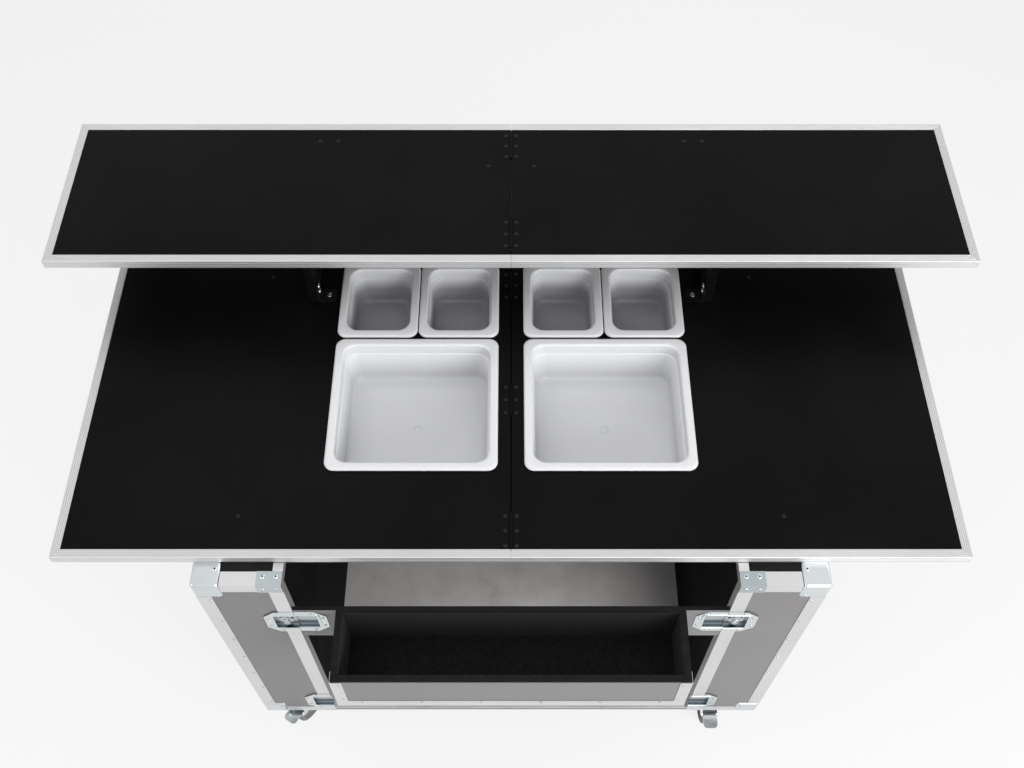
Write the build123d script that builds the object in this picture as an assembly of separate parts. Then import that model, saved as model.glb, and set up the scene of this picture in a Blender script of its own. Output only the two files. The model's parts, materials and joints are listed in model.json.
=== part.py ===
from build123d import *
import os

# A folding bar in a flight case: a case on casters, a worktop in two hinged halves with food pans,
# a raised bar top in two hinged halves on folding supports, and a speed rack hung on the service side.
# Millimetres. X runs along the bar, +Y points to the guests, +Z is up, and the floor is at Z = 0.
# Pieces are drawn for the right-hand side (+X) and mirrored for the left, unless they say otherwise.

# Driving dimensions of the case
CASTER_HEIGHT = 125.0
CASE_WIDTH = 1240.0
CASE_DEPTH = 810.0
CASE_HEIGHT = 809.0
COLUMN_WIDTH = 175.0
PLY = 9.0
BASE_PLY = 12.0
FLOOR_LAMINATE = 4.0
ANGLE_LEG = 30.0
ANGLE_INNER_LEG = 20.0
ANGLE_WALL = 1.5
CAP_LEG = 57.0
CAP_PROUD = 2.0
CAP_ROUND = 8.0
BRACKET_WIDTH = 50.0
BRACKET_TOP_LEAF = 30.0
BRACKET_FACE_LEAF = 28.0
BRACKET_WALL = 2.0

# Driving dimensions of the worktop and the bar top
WORKTOP_WIDTH = 1790.0
WORKTOP_SETBACK = 49.0
WORKTOP_REAR_SETBACK = 1.0
BAR_WIDTH = 1940.0
BAR_DEPTH = 399.0
BAR_RISE = 200.0
BAR_OVERHANG = 210.0
TOP_THICKNESS = 21.0
EDGE_SKIRT = 2.0
EDGE_FLANGE = 18.0
EDGE_LIP = 1.5
EDGE_LET_IN = 1.0
MIDDLE_GAP = 0.6

# Hinges let into the two tops
HINGE_LENGTH = 76.0
LEAF_WIDTH = 24.0
LEAF = 1.5
KNUCKLE_RADIUS = 2.6
PIN_RADIUS = 1.3
FOLD_CLEARANCE = 0.2
RUNNING_CLEARANCE = 0.05
SIDE_CLEARANCE = 0.3
WORKTOP_HINGE_FRONT = 58.0
WORKTOP_HINGE_REAR = 95.0
WORKTOP_HINGES = 3
BAR_HINGE_FRONT = 75.0
BAR_HINGE_REAR = 69.0
BAR_HINGES = 2

# Food pans: large ones of the gastronorm size two-thirds, and two small ones across the same width
LARGE_PAN_X = 354.0
LARGE_PAN_Y = 325.0
LARGE_PAN_DEPTH = 110.0
SMALL_PAN_X = 176.0
SMALL_PAN_Y = 205.0
SMALL_PAN_DEPTH = 100.0
PAN_WALL = 3.0
PAN_RIM_HEIGHT = 9.0
PAN_RIM_LIP = 14.0
PAN_RIM_CORNER = 20.0
PAN_CORNER = 28.0
PAN_COLLAR = 20.0
PAN_STEP = 3.0
PAN_TAPER = 3.0
PAN_CLEARANCE = 1.5
PAN_FROM_MIDDLE = 27.0
PAN_FROM_REAR = 36.0
PAN_ROW_GAP = 5.0
PAN_SIDE_GAP = 2.0

# Supports of the bar top and the brackets that hold them to the worktop
SUPPORT_X = 449.0
SUPPORT_PLY = 18.0
SUPPORT_FROM_BAR_FRONT = 48.0
SUPPORT_TOP_LENGTH = 294.0
SUPPORT_FOOT_LENGTH = 118.0
SUPPORT_DROP = 4.0
SUPPORT_FOOT_BEVEL = 1.3
SUPPORT_KNUCKLE_RADIUS = 3.5
SUPPORT_PIN_RADIUS = 2.0
SUPPORT_END_KNUCKLE = 40.0
SUPPORT_LEAF_WIDTH = 25.0
SUPPORT_LEAF = 2.0
FOOT_BRACKET_LENGTH = 34.0
FOOT_BRACKET_REACH = 38.0
FOOT_BRACKET_HEIGHT = 46.0
FOOT_BRACKET_WALL = 3.0

# Speed rack
RACK_DEPTH = 147.0
RACK_LATCH_ROOM = 22.2
RACK_DROP = 153.0
RACK_HEIGHT = 150.0
RACK_PANEL_HEIGHT = 144.0
RACK_PANEL_GAP = 0.3
RACK_LINING = 5.0
RACK_STRIP = 24.0

# Butterfly latches, each split between a column and the rack's back panel
LATCH_HALF_WIDTH = 64.0
LATCH_HEIGHT = 105.0
LATCH_CUT_CORNER = 24.0
LATCH_PLATE = 1.5
LATCH_CUP_WIDTH = 46.0
LATCH_CUP_HEIGHT = 66.0
LATCH_CUP_DEPTH = 8.5
LATCH_DROP = 212.0
LOWER_LATCH_RISE = 80.0
KEY_RADIUS = 15.0
KEY_LENGTH = 42.0
KEY_WIDTH = 13.0
KEY_WALL = 2.5
KEY_SPINDLE = 4.0

# Swivel casters
CASTER_INSET_X = 112.0
CASTER_INSET_Y = 74.0
CASTER_PLATE_X = 105.0
CASTER_PLATE_Y = 85.0
CASTER_PLATE = 3.0
KINGPIN_RADIUS = 6.0
KINGPIN_HEAD_RADIUS = 10.0
KINGPIN_HEAD = 4.0
CROWN_RADIUS = 25.0
CROWN_HEIGHT = 9.0
CASTER_OFFSET = 36.0
WHEEL_RADIUS = 50.0
WHEEL_WIDTH = 32.0
WHEEL_ROUND = 5.0
WHEEL_HUB_RADIUS = 16.0
FORK_WALL = 3.0
FORK_GAP = 2.0
FORK_EYE = 13.0
AXLE_RADIUS = 5.0
AXLE_HEAD_RADIUS = 9.0
AXLE_HEAD = 4.0
PEDAL_AHEAD = 37.0
PEDAL_ABOVE = 45.0
PEDAL_PIN_RADIUS = 3.0
PEDAL_BOSS = 6.0
PEDAL_LENGTH = 40.0
PEDAL_WALL = 4.0
PEDAL_ROUND = 10.0
# Turn of each caster about its kingpin, in degrees from pointing at the guests
SERVICE_LEFT_TURN = 148.0
SERVICE_RIGHT_TURN = 180.0
GUEST_LEFT_TURN = 160.0
GUEST_RIGHT_TURN = 150.0

# Levels and lines worked out from the driving dimensions
SERVICE_Y = RACK_DEPTH - (RACK_DEPTH + CASE_DEPTH + BAR_OVERHANG) / 2
GUEST_Y = SERVICE_Y + CASE_DEPTH
HALF_CASE = CASE_WIDTH / 2
INNER_X = HALF_CASE - COLUMN_WIDTH
SEAM_X = INNER_X - ANGLE_WALL
CASE_BOTTOM = CASTER_HEIGHT - ANGLE_WALL
CASE_TOP = CASTER_HEIGHT + CASE_HEIGHT
FLOOR_TOP = CASTER_HEIGHT + BASE_PLY
WORKTOP_BOTTOM = CASE_TOP + CAP_PROUD
WORKTOP_TOP = WORKTOP_BOTTOM + TOP_THICKNESS
WORKTOP_SURFACE = WORKTOP_TOP - EDGE_LIP
WORKTOP_FRONT = SERVICE_Y + WORKTOP_SETBACK
WORKTOP_REAR = GUEST_Y - WORKTOP_REAR_SETBACK
WORKTOP_DEPTH = WORKTOP_REAR - WORKTOP_FRONT
BAR_TOP = WORKTOP_TOP + BAR_RISE
BAR_BOTTOM = BAR_TOP - TOP_THICKNESS
BAR_FRONT = GUEST_Y + BAR_OVERHANG - BAR_DEPTH
RACK_TOP = WORKTOP_TOP - RACK_DROP
RACK_BOTTOM = RACK_TOP - RACK_HEIGHT
RACK_FRONT = SERVICE_Y - RACK_DEPTH
RACK_WIDTH = 2 * (SEAM_X - RACK_PANEL_GAP - LATCH_HALF_WIDTH - RACK_LATCH_ROOM)
LATCH_Z = WORKTOP_TOP - LATCH_DROP
LOWER_LATCH_Z = CASE_BOTTOM + LOWER_LATCH_RISE
SMALL_PAN_FRONT = WORKTOP_REAR - PAN_FROM_REAR - SMALL_PAN_Y
LARGE_PAN_FRONT = SMALL_PAN_FRONT - PAN_ROW_GAP - LARGE_PAN_Y


def slab(x0, x1, y0, y1, z0, z1):
    """A block between two corners."""
    middle = Pos((x0 + x1) / 2, (y0 + y1) / 2, (z0 + z1) / 2)
    return middle * Box(abs(x1 - x0), abs(y1 - y0), abs(z1 - z0))


def rod_along_x(x0, x1, y, z, radius):
    return Pos((x0 + x1) / 2, y, z) * Rot(0, 90, 0) * Cylinder(radius, abs(x1 - x0))


def rod_along_y(x, y0, y1, z, radius):
    return Pos(x, (y0 + y1) / 2, z) * Rot(90, 0, 0) * Cylinder(radius, abs(y1 - y0))


def rod_along_z(x, y, z0, z1, radius):
    return Pos(x, y, (z0 + z1) / 2) * Cylinder(radius, abs(z1 - z0))


def mirrored(shape):
    """The left-hand copy of a right-hand piece."""
    return mirror(shape, about=Plane.YZ)


def group(*shapes):
    """Separate solids that share a node."""
    return Compound([solid for shape in shapes for solid in shape.solids()])


def both_sides(shape):
    return group(shape, mirrored(shape))


# Case panels

def base_board():
    half = HALF_CASE - ANGLE_WALL
    return slab(-half, half, SERVICE_Y + ANGLE_WALL, GUEST_Y - ANGLE_WALL, CASTER_HEIGHT, FLOOR_TOP)


def cavity_floor():
    back = GUEST_Y - ANGLE_WALL - PLY
    return slab(-INNER_X, INNER_X, SERVICE_Y + ANGLE_WALL, back, FLOOR_TOP, FLOOR_TOP + FLOOR_LAMINATE)


def wall_between_faces(x0, x1):
    """A wall of a column, between its service face and the guest wall."""
    front = SERVICE_Y + ANGLE_WALL + PLY
    back = GUEST_Y - ANGLE_WALL - PLY
    return slab(x0, x1, front, back, FLOOR_TOP, CASE_TOP - ANGLE_WALL - PLY)


def outer_wall():
    return wall_between_faces(HALF_CASE - ANGLE_WALL - PLY, HALF_CASE - ANGLE_WALL)


def inner_wall():
    return wall_between_faces(INNER_X, INNER_X + PLY)


def column_face():
    front = SERVICE_Y + ANGLE_WALL
    face = slab(INNER_X, HALF_CASE - ANGLE_WALL, front, front + PLY, FLOOR_TOP, CASE_TOP - ANGLE_WALL - PLY)
    return face - latch_pocket(LATCH_Z) - latch_pocket(LOWER_LATCH_Z)


def column_top():
    front = SERVICE_Y + ANGLE_WALL
    back = GUEST_Y - ANGLE_WALL - PLY
    top = CASE_TOP - ANGLE_WALL
    return slab(INNER_X, HALF_CASE - ANGLE_WALL, front, back, top - PLY, top)


def guest_wall():
    half = HALF_CASE - ANGLE_WALL
    outside = GUEST_Y - ANGLE_WALL
    return slab(-half, half, outside - PLY, outside, FLOOR_TOP, CASE_TOP - ANGLE_WALL)


# Aluminium angles and pressed corners of the case

def corner_block():
    """The space of the top corner cap on the service side."""
    outside = HALF_CASE + CAP_PROUD
    front = SERVICE_Y - CAP_PROUD
    top = CASE_TOP + CAP_PROUD
    return slab(outside - CAP_LEG, outside, front, front + CAP_LEG, top - CAP_LEG, top)


def to_other_ends(shape):
    """Copies of a top service corner piece at the four corners of one side of the case."""
    middle_y = Plane(origin=(0, (SERVICE_Y + GUEST_Y) / 2, 0), z_dir=(0, 1, 0))
    middle_z = Plane(origin=(0, 0, (CASE_BOTTOM + CASE_TOP) / 2), z_dir=(0, 0, 1))
    at_guests = mirror(shape, about=middle_y)
    return [shape, at_guests, mirror(shape, about=middle_z), mirror(at_guests, about=middle_z)]


def corner_caps():
    block = corner_block()
    block = fillet(block.edges(), CAP_ROUND)
    outside = HALF_CASE - ANGLE_WALL
    front = SERVICE_Y + ANGLE_WALL
    top = CASE_TOP - ANGLE_WALL
    hollow = slab(outside - CAP_LEG, outside, front, front + CAP_LEG, top - CAP_LEG, top)
    caps = to_other_ends(block - hollow)
    return group(*caps, *[mirrored(cap) for cap in caps])


def angle_along_z(x, y, x_leg, y_leg, z0, z1):
    """An upright angle: x_leg and y_leg are signed, from the outer corner line at x, y."""
    x_wall = ANGLE_WALL if x_leg > 0 else -ANGLE_WALL
    y_wall = ANGLE_WALL if y_leg > 0 else -ANGLE_WALL
    return slab(x, x + x_leg, y, y + y_wall, z0, z1) + slab(x, x + x_wall, y, y + y_leg, z0, z1)


def angle_along_x(y, z, y_leg, z_leg, x0, x1):
    y_wall = ANGLE_WALL if y_leg > 0 else -ANGLE_WALL
    z_wall = ANGLE_WALL if z_leg > 0 else -ANGLE_WALL
    return slab(x0, x1, y, y + y_leg, z, z + z_wall) + slab(x0, x1, y, y + y_wall, z, z + z_leg)


def angle_along_y(x, z, x_leg, z_leg, y0, y1):
    x_wall = ANGLE_WALL if x_leg > 0 else -ANGLE_WALL
    z_wall = ANGLE_WALL if z_leg > 0 else -ANGLE_WALL
    return slab(x, x + x_leg, y0, y1, z, z + z_wall) + slab(x, x + x_wall, y0, y1, z, z + z_leg)


def column_frame():
    """The angles round a column's service face, its top and its outer foot, as one riveted frame."""
    back = GUEST_Y - ANGLE_LEG
    wide = ANGLE_LEG
    narrow = ANGLE_INNER_LEG
    frame = angle_along_z(HALF_CASE, SERVICE_Y, -wide, wide, CASE_BOTTOM, CASE_TOP)
    frame += angle_along_z(SEAM_X, SERVICE_Y, wide, narrow, CASE_BOTTOM, CASE_TOP)
    frame += angle_along_x(SERVICE_Y, CASE_TOP, wide, -wide, SEAM_X, HALF_CASE)
    frame += angle_along_x(SERVICE_Y, CASE_BOTTOM, wide, wide, SEAM_X, HALF_CASE)
    frame += angle_along_y(HALF_CASE, CASE_TOP, -wide, -wide, SERVICE_Y, back)
    frame += angle_along_y(HALF_CASE, CASE_BOTTOM, -wide, wide, SERVICE_Y, back)
    frame += angle_along_y(SEAM_X, CASE_TOP, narrow, -narrow, SERVICE_Y, back)
    # Inside the case the inner upright stands on the floor laminate.
    floor = slab(SEAM_X, INNER_X, SERVICE_Y + ANGLE_WALL, back, CASE_BOTTOM, FLOOR_TOP + FLOOR_LAMINATE)
    for corner in to_other_ends(corner_block()):
        frame -= corner
    return frame - floor - latch_pocket(LATCH_Z) - latch_pocket(LOWER_LATCH_Z)


def guest_side_frame():
    half = HALF_CASE
    rim = ANGLE_WALL + PLY
    upright = angle_along_z(half, GUEST_Y, -ANGLE_LEG, -ANGLE_LEG, CASE_BOTTOM, CASE_TOP)
    frame = upright + mirrored(upright)
    frame += angle_along_x(GUEST_Y, CASE_TOP, -rim, -ANGLE_LEG, -half, half)
    frame += angle_along_x(GUEST_Y, CASE_BOTTOM, -ANGLE_LEG, ANGLE_LEG, -half, half)
    for corner in to_other_ends(corner_block()):
        frame -= corner
        frame -= mirrored(corner)
    return frame


def inner_bracket():
    """The plate bent over the top inner corner of a column."""
    x0 = SEAM_X
    x1 = x0 + BRACKET_WIDTH
    front = SERVICE_Y - BRACKET_WALL
    top_leaf = slab(x0, x1, front, SERVICE_Y + BRACKET_TOP_LEAF, CASE_TOP, CASE_TOP + BRACKET_WALL)
    face_leaf = slab(x0, x1, front, SERVICE_Y, CASE_TOP - BRACKET_FACE_LEAF, CASE_TOP)
    return top_leaf + face_leaf


# Latches

def latch_seam(x_side):
    """The edge of a half dish: the inner face of the column's frame, or the edge of the rack's panel."""
    return SEAM_X if x_side > 0 else SEAM_X - RACK_PANEL_GAP


def latch_cup(x_side, y_face, z):
    """Outer block and inner hollow of a latch cup that opens at the line between column and rack."""
    x_mouth = latch_seam(x_side)
    x_end = x_mouth + x_side * LATCH_CUP_WIDTH
    half = LATCH_CUP_HEIGHT / 2
    back = y_face + LATCH_CUP_DEPTH
    hollow_end = x_end - x_side * LATCH_PLATE
    block = slab(x_mouth, x_end, y_face, back, z - half, z + half)
    hollow = slab(
        x_mouth - x_side, hollow_end,
        y_face - LATCH_PLATE, back - LATCH_PLATE,
        z - half + LATCH_PLATE, z + half - LATCH_PLATE,
    )
    return block, hollow


def latch_pocket(z):
    """The cut for a cup in a column's face and frame."""
    end = SEAM_X + LATCH_CUP_WIDTH + SIDE_CLEARANCE
    half = LATCH_CUP_HEIGHT / 2 + SIDE_CLEARANCE
    depth = LATCH_CUP_DEPTH + SIDE_CLEARANCE
    return slab(SEAM_X - PLY, end, SERVICE_Y - PLY, SERVICE_Y + depth, z - half, z + half)


def latch_half(x_side, y_face, z):
    """A half dish: a flange with two cut corners, and a cup behind it."""
    near = latch_seam(x_side)
    far = near + x_side * LATCH_HALF_WIDTH
    cut = x_side * LATCH_CUT_CORNER
    half = LATCH_HEIGHT / 2
    outline = Polyline(
        (near, z - half), (far - cut, z - half), (far, z - half + LATCH_CUT_CORNER),
        (far, z + half - LATCH_CUT_CORNER), (far - cut, z + half), (near, z + half),
        close=True,
    )
    plane = Plane(origin=(0, y_face, 0), x_dir=(1, 0, 0), z_dir=(0, -1, 0))
    flange = extrude(plane * make_face(outline), LATCH_PLATE)
    block, hollow = latch_cup(x_side, y_face, z)
    return flange + block - hollow


def key_centre():
    return SEAM_X + (LATCH_CUP_WIDTH - LATCH_PLATE) / 2


def latch_dishes():
    back = SERVICE_Y + LATCH_CUP_DEPTH
    bore = rod_along_y(key_centre(), back - PLY, back + PLY, LATCH_Z, KEY_SPINDLE + RUNNING_CLEARANCE)
    upper = latch_half(1, SERVICE_Y, LATCH_Z) - bore
    lower = latch_half(1, SERVICE_Y, LOWER_LATCH_Z)
    return group(upper, mirrored(upper), lower, mirrored(lower))


def rack_keeper():
    return latch_half(-1, SERVICE_Y + ANGLE_WALL, LATCH_Z)


def latch_key():
    """A disc on a spindle, with the butterfly's wing across it."""
    x = key_centre()
    floor = SERVICE_Y + LATCH_CUP_DEPTH - LATCH_PLATE
    disc_face = floor - SIDE_CLEARANCE - KEY_WALL
    key = rod_along_y(x, disc_face, disc_face + KEY_WALL, LATCH_Z, KEY_RADIUS)
    key += rod_along_y(x, disc_face, floor + LATCH_PLATE, LATCH_Z, KEY_SPINDLE)
    plane = Plane(origin=(x, disc_face, LATCH_Z), x_dir=(0, 0, 1), z_dir=(0, -1, 0))
    key += extrude(plane * SlotOverall(KEY_LENGTH, KEY_WIDTH), KEY_WALL)
    return key


# Worktop and bar top

def top_board(half_width, front, depth, bottom):
    """The laminated board of the right half of a top, rebated for the flange of its metal edge."""
    x0 = MIDDLE_GAP / 2
    rear = front + depth
    surface = bottom + TOP_THICKNESS - EDGE_LIP
    step = surface - EDGE_LET_IN
    rebate = EDGE_FLANGE + SIDE_CLEARANCE
    board = slab(x0, half_width - EDGE_SKIRT, front + EDGE_SKIRT, rear - EDGE_SKIRT, bottom, step)
    return board + slab(x0, half_width - rebate, front + rebate, rear - rebate, step, surface)


def top_edge(half_width, front, depth, bottom):
    """The angle round three sides of a half: a skirt outside the board and a flange let into it."""
    x0 = MIDDLE_GAP / 2
    rear = front + depth
    top = bottom + TOP_THICKNESS
    foot = top - EDGE_LIP - EDGE_LET_IN
    whole = slab(x0, half_width, front, rear, bottom, top)
    window = slab(x0, half_width - EDGE_FLANGE, front + EDGE_FLANGE, rear - EDGE_FLANGE, foot, top)
    return whole - top_board(half_width, front, depth, bottom) - window


def hinge_rows(first, last, count):
    """Evenly spaced hinge middles between two lines."""
    pitch = (last - first) / (count - 1)
    return [first + pitch * row for row in range(count)]


def hinge_recess(y, top):
    """The cut for a leaf in the right board, and room for the knuckles in its middle edge."""
    y0 = y - HINGE_LENGTH / 2 - SIDE_CLEARANCE
    y1 = y + HINGE_LENGTH / 2 + SIDE_CLEARANCE
    leaf_room = slab(0, LEAF_WIDTH + SIDE_CLEARANCE, y0, y1, top - EDGE_LIP - LEAF, top)
    return leaf_room + rod_along_y(0, y0, y1, top + FOLD_CLEARANCE, KNUCKLE_RADIUS + SIDE_CLEARANCE)


def hinge_leaf(side, y, top):
    """One leaf: the left one (side -1) has the two end knuckles, the right one the middle knuckle."""
    axis_z = top + FOLD_CLEARANCE
    surface = top - EDGE_LIP
    third = HINGE_LENGTH / 3
    y0 = y - HINGE_LENGTH / 2
    near = side * (KNUCKLE_RADIUS + SIDE_CLEARANCE)
    plate = slab(near, side * LEAF_WIDTH, y0, y0 + HINGE_LENGTH, surface - LEAF, surface)
    thirds = (0, 2) if side < 0 else (1,)
    for index in thirds:
        start = y0 + third * index + SIDE_CLEARANCE / 2
        end = start + third - SIDE_CLEARANCE
        plate += rod_along_y(0, start, end, axis_z, KNUCKLE_RADIUS)
        plate += slab(0, near, start, end, surface - LEAF, surface)
    return plate - rod_along_y(0, y0, y0 + HINGE_LENGTH, axis_z, PIN_RADIUS + RUNNING_CLEARANCE)


def hinge_pin(y, top):
    half = HINGE_LENGTH / 2
    return rod_along_y(0, y - half, y + half, top + FOLD_CLEARANCE, PIN_RADIUS)


def left_hinges(rows, top):
    """The left leaves, with the pins that are riveted into them."""
    return group(*[hinge_leaf(-1, row, top) for row in rows], *[hinge_pin(row, top) for row in rows])


def right_hinges(rows, top):
    return group(*[hinge_leaf(1, row, top) for row in rows])


def worktop_rows():
    first = WORKTOP_FRONT + WORKTOP_HINGE_FRONT
    return hinge_rows(first, WORKTOP_REAR - WORKTOP_HINGE_REAR, WORKTOP_HINGES)


def bar_rows():
    first = BAR_FRONT + BAR_HINGE_FRONT
    return hinge_rows(first, BAR_FRONT + BAR_DEPTH - BAR_HINGE_REAR, BAR_HINGES)


def pan_places():
    """Name, rim size, depth and rim centre of each pan of the right half."""
    large = (PAN_FROM_MIDDLE + LARGE_PAN_X / 2, LARGE_PAN_FRONT + LARGE_PAN_Y / 2)
    small_y = SMALL_PAN_FRONT + SMALL_PAN_Y / 2
    inner_x = PAN_FROM_MIDDLE + SMALL_PAN_X / 2
    outer_x = inner_x + SMALL_PAN_X + PAN_SIDE_GAP
    return [
        ("large_pan", LARGE_PAN_X, LARGE_PAN_Y, LARGE_PAN_DEPTH, *large),
        ("inner_small_pan", SMALL_PAN_X, SMALL_PAN_Y, SMALL_PAN_DEPTH, inner_x, small_y),
        ("outer_small_pan", SMALL_PAN_X, SMALL_PAN_Y, SMALL_PAN_DEPTH, outer_x, small_y),
    ]


def rounded_prism(x, y, z, size_x, size_y, corner, height, taper=0.0):
    """An upright rounded rectangle, drawn from z upwards, or downwards for a negative height."""
    up = 1 if height > 0 else -1
    plane = Plane(origin=(x, y, z), z_dir=(0, 0, up))
    return extrude(plane * RectangleRounded(size_x, size_y, corner), abs(height), taper=taper)


def worktop_board():
    board = top_board(WORKTOP_WIDTH / 2, WORKTOP_FRONT, WORKTOP_DEPTH, WORKTOP_BOTTOM)
    for _, size_x, size_y, _, x, y in pan_places():
        hole_x = size_x - 2 * PAN_RIM_LIP
        hole_y = size_y - 2 * PAN_RIM_LIP
        board -= rounded_prism(x, y, WORKTOP_BOTTOM, hole_x, hole_y, PAN_CORNER, TOP_THICKNESS)
    for row in worktop_rows():
        board -= hinge_recess(row, WORKTOP_TOP)
    return board


def bar_board():
    board = top_board(BAR_WIDTH / 2, BAR_FRONT, BAR_DEPTH, BAR_BOTTOM)
    for row in bar_rows():
        board -= hinge_recess(row, BAR_TOP)
    return board


def pan(size_x, size_y, depth, x, y):
    """A food pan: a rolled rim on the worktop, a straight collar, a stacking step and a tapered tub."""
    rim_top = WORKTOP_SURFACE + PAN_RIM_HEIGHT
    body_x = size_x - 2 * (PAN_RIM_LIP + PAN_CLEARANCE)
    body_y = size_y - 2 * (PAN_RIM_LIP + PAN_CLEARANCE)
    tub_x = body_x - 2 * PAN_STEP
    tub_y = body_y - 2 * PAN_STEP
    tub_corner = PAN_CORNER - PAN_STEP
    collar_foot = WORKTOP_SURFACE - PAN_COLLAR
    tub_depth = depth - PAN_COLLAR
    wall = 2 * PAN_WALL
    shell = rounded_prism(x, y, WORKTOP_SURFACE, size_x, size_y, PAN_RIM_CORNER, PAN_RIM_HEIGHT)
    shell += rounded_prism(x, y, collar_foot, body_x, body_y, PAN_CORNER, PAN_COLLAR)
    shell += rounded_prism(x, y, collar_foot, tub_x, tub_y, tub_corner, -tub_depth, PAN_TAPER)
    hollow_foot = collar_foot + PAN_WALL
    hollow = rounded_prism(
        x, y, hollow_foot, body_x - wall, body_y - wall, PAN_CORNER - PAN_WALL, rim_top - hollow_foot
    )
    hollow += rounded_prism(
        x, y, hollow_foot, tub_x - wall, tub_y - wall, tub_corner - PAN_WALL, -tub_depth, PAN_TAPER
    )
    return shell - hollow


# Supports of the bar top

def support_axis_z():
    return BAR_BOTTOM - SUPPORT_DROP


def support_ends():
    start = BAR_FRONT + SUPPORT_FROM_BAR_FRONT
    return start, start + SUPPORT_TOP_LENGTH


def support():
    """A console panel hung by its outer top edge, so that it folds outwards under the bar top."""
    y0, y1 = support_ends()
    top = support_axis_z()
    foot = WORKTOP_SURFACE + SIDE_CLEARANCE
    outline = Polyline((y0, foot), (y0 + SUPPORT_FOOT_LENGTH, foot), (y1, top), (y0, top), close=True)
    plane = Plane(origin=(SUPPORT_X, 0, 0), x_dir=(0, 1, 0), z_dir=(1, 0, 0))
    panel = extrude(plane * make_face(outline), -SUPPORT_PLY)
    # The foot rises towards the middle of the bar, which lets it swing clear of the worktop.
    inside = SUPPORT_X - SUPPORT_PLY
    bevel = Polyline((SUPPORT_X, foot), (inside, foot + SUPPORT_FOOT_BEVEL), (inside, foot), close=True)
    bevel_plane = Plane(origin=(0, y1, 0), x_dir=(1, 0, 0), z_dir=(0, -1, 0))
    panel -= extrude(bevel_plane * make_face(bevel), SUPPORT_TOP_LENGTH)
    k0 = y0 + SUPPORT_END_KNUCKLE + SIDE_CLEARANCE
    k1 = y1 - SUPPORT_END_KNUCKLE - SIDE_CLEARANCE
    relief = SUPPORT_KNUCKLE_RADIUS + SIDE_CLEARANCE
    panel += rod_along_y(SUPPORT_X, k0, k1, top, SUPPORT_KNUCKLE_RADIUS)
    panel -= rod_along_y(SUPPORT_X, y0, y1, top, SUPPORT_PIN_RADIUS + RUNNING_CLEARANCE)
    for start, end in ((y0, k0), (k1, y1)):
        panel -= rod_along_y(SUPPORT_X, start, end, top, relief)
    return panel


def support_hinge():
    """The fixed leaf under the bar top, with its end knuckles and the pin."""
    y0, y1 = support_ends()
    z = support_axis_z()
    far = SUPPORT_X + SUPPORT_LEAF_WIDTH
    radius = SUPPORT_KNUCKLE_RADIUS
    hinge = slab(SUPPORT_X + radius, far, y0, y1, BAR_BOTTOM - SUPPORT_LEAF, BAR_BOTTOM)
    for start, end in ((y0, y0 + SUPPORT_END_KNUCKLE), (y1 - SUPPORT_END_KNUCKLE, y1)):
        hinge += rod_along_y(SUPPORT_X, start, end, z, radius)
        hinge += slab(SUPPORT_X, SUPPORT_X + 2 * radius, start, end, BAR_BOTTOM - SUPPORT_LEAF, BAR_BOTTOM)
        hinge += slab(SUPPORT_X, SUPPORT_X + radius, start, end, z, BAR_BOTTOM)
    return hinge + rod_along_y(SUPPORT_X, y0, y1, z, SUPPORT_PIN_RADIUS)


def foot_bracket():
    """The angle bracket on the worktop that stands against a support's inner side."""
    y0, _ = support_ends()
    y1 = y0 + FOOT_BRACKET_LENGTH
    leaf = SUPPORT_X - SUPPORT_PLY - SIDE_CLEARANCE
    z = WORKTOP_SURFACE
    foot = slab(leaf - FOOT_BRACKET_REACH, leaf, y0, y1, z, z + FOOT_BRACKET_WALL)
    return foot + slab(leaf - FOOT_BRACKET_WALL, leaf, y0, y1, z, z + FOOT_BRACKET_HEIGHT)


# Speed rack

def rack_back_y():
    """The face of the back panel, in line with the laminate of the columns."""
    return SERVICE_Y + ANGLE_WALL


def rack_back_panel():
    half = SEAM_X - RACK_PANEL_GAP
    y = rack_back_y()
    panel = slab(-half, half, y, y + PLY, RACK_TOP - RACK_PANEL_HEIGHT, RACK_TOP)
    cup_half = LATCH_CUP_HEIGHT / 2 + SIDE_CLEARANCE
    cup_end = half - LATCH_CUP_WIDTH - SIDE_CLEARANCE
    cup_back = y + LATCH_CUP_DEPTH + SIDE_CLEARANCE
    pocket = slab(cup_end, half, y, cup_back, LATCH_Z - cup_half, LATCH_Z + cup_half)
    return panel - pocket - mirrored(pocket)


def rack_front_y():
    return RACK_FRONT + ANGLE_WALL


def rack_floor():
    half = RACK_WIDTH / 2 - ANGLE_WALL
    z = RACK_BOTTOM + ANGLE_WALL
    return slab(-half, half, rack_front_y(), rack_back_y(), z, z + PLY)


def rack_front():
    half = RACK_WIDTH / 2 - ANGLE_WALL
    z = RACK_BOTTOM + ANGLE_WALL + PLY
    return slab(-half, half, rack_front_y(), rack_front_y() + PLY, z, RACK_TOP - RACK_LINING)


def rack_end():
    outside = RACK_WIDTH / 2 - ANGLE_WALL
    z = RACK_BOTTOM + ANGLE_WALL + PLY
    return slab(outside - PLY, outside, rack_front_y() + PLY, rack_back_y(), z, RACK_TOP - RACK_LINING)


def rack_lining():
    """Black padding on the walls and floor of the trough, drawn over the wall tops as a thick rim."""
    outside = RACK_WIDTH / 2 - ANGLE_WALL
    front = rack_front_y()
    back = rack_back_y()
    floor = RACK_BOTTOM + ANGLE_WALL + PLY
    rim = slab(-outside, outside, front, back, RACK_TOP - RACK_LINING, RACK_TOP)
    inside = outside - PLY
    lining = rim + slab(-inside, inside, front + PLY, back, floor, RACK_TOP)
    hollow_x = inside - RACK_LINING
    hollow = slab(
        -hollow_x, hollow_x, front + PLY + RACK_LINING, back - RACK_LINING, floor + RACK_LINING, RACK_TOP
    )
    return lining - hollow


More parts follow.
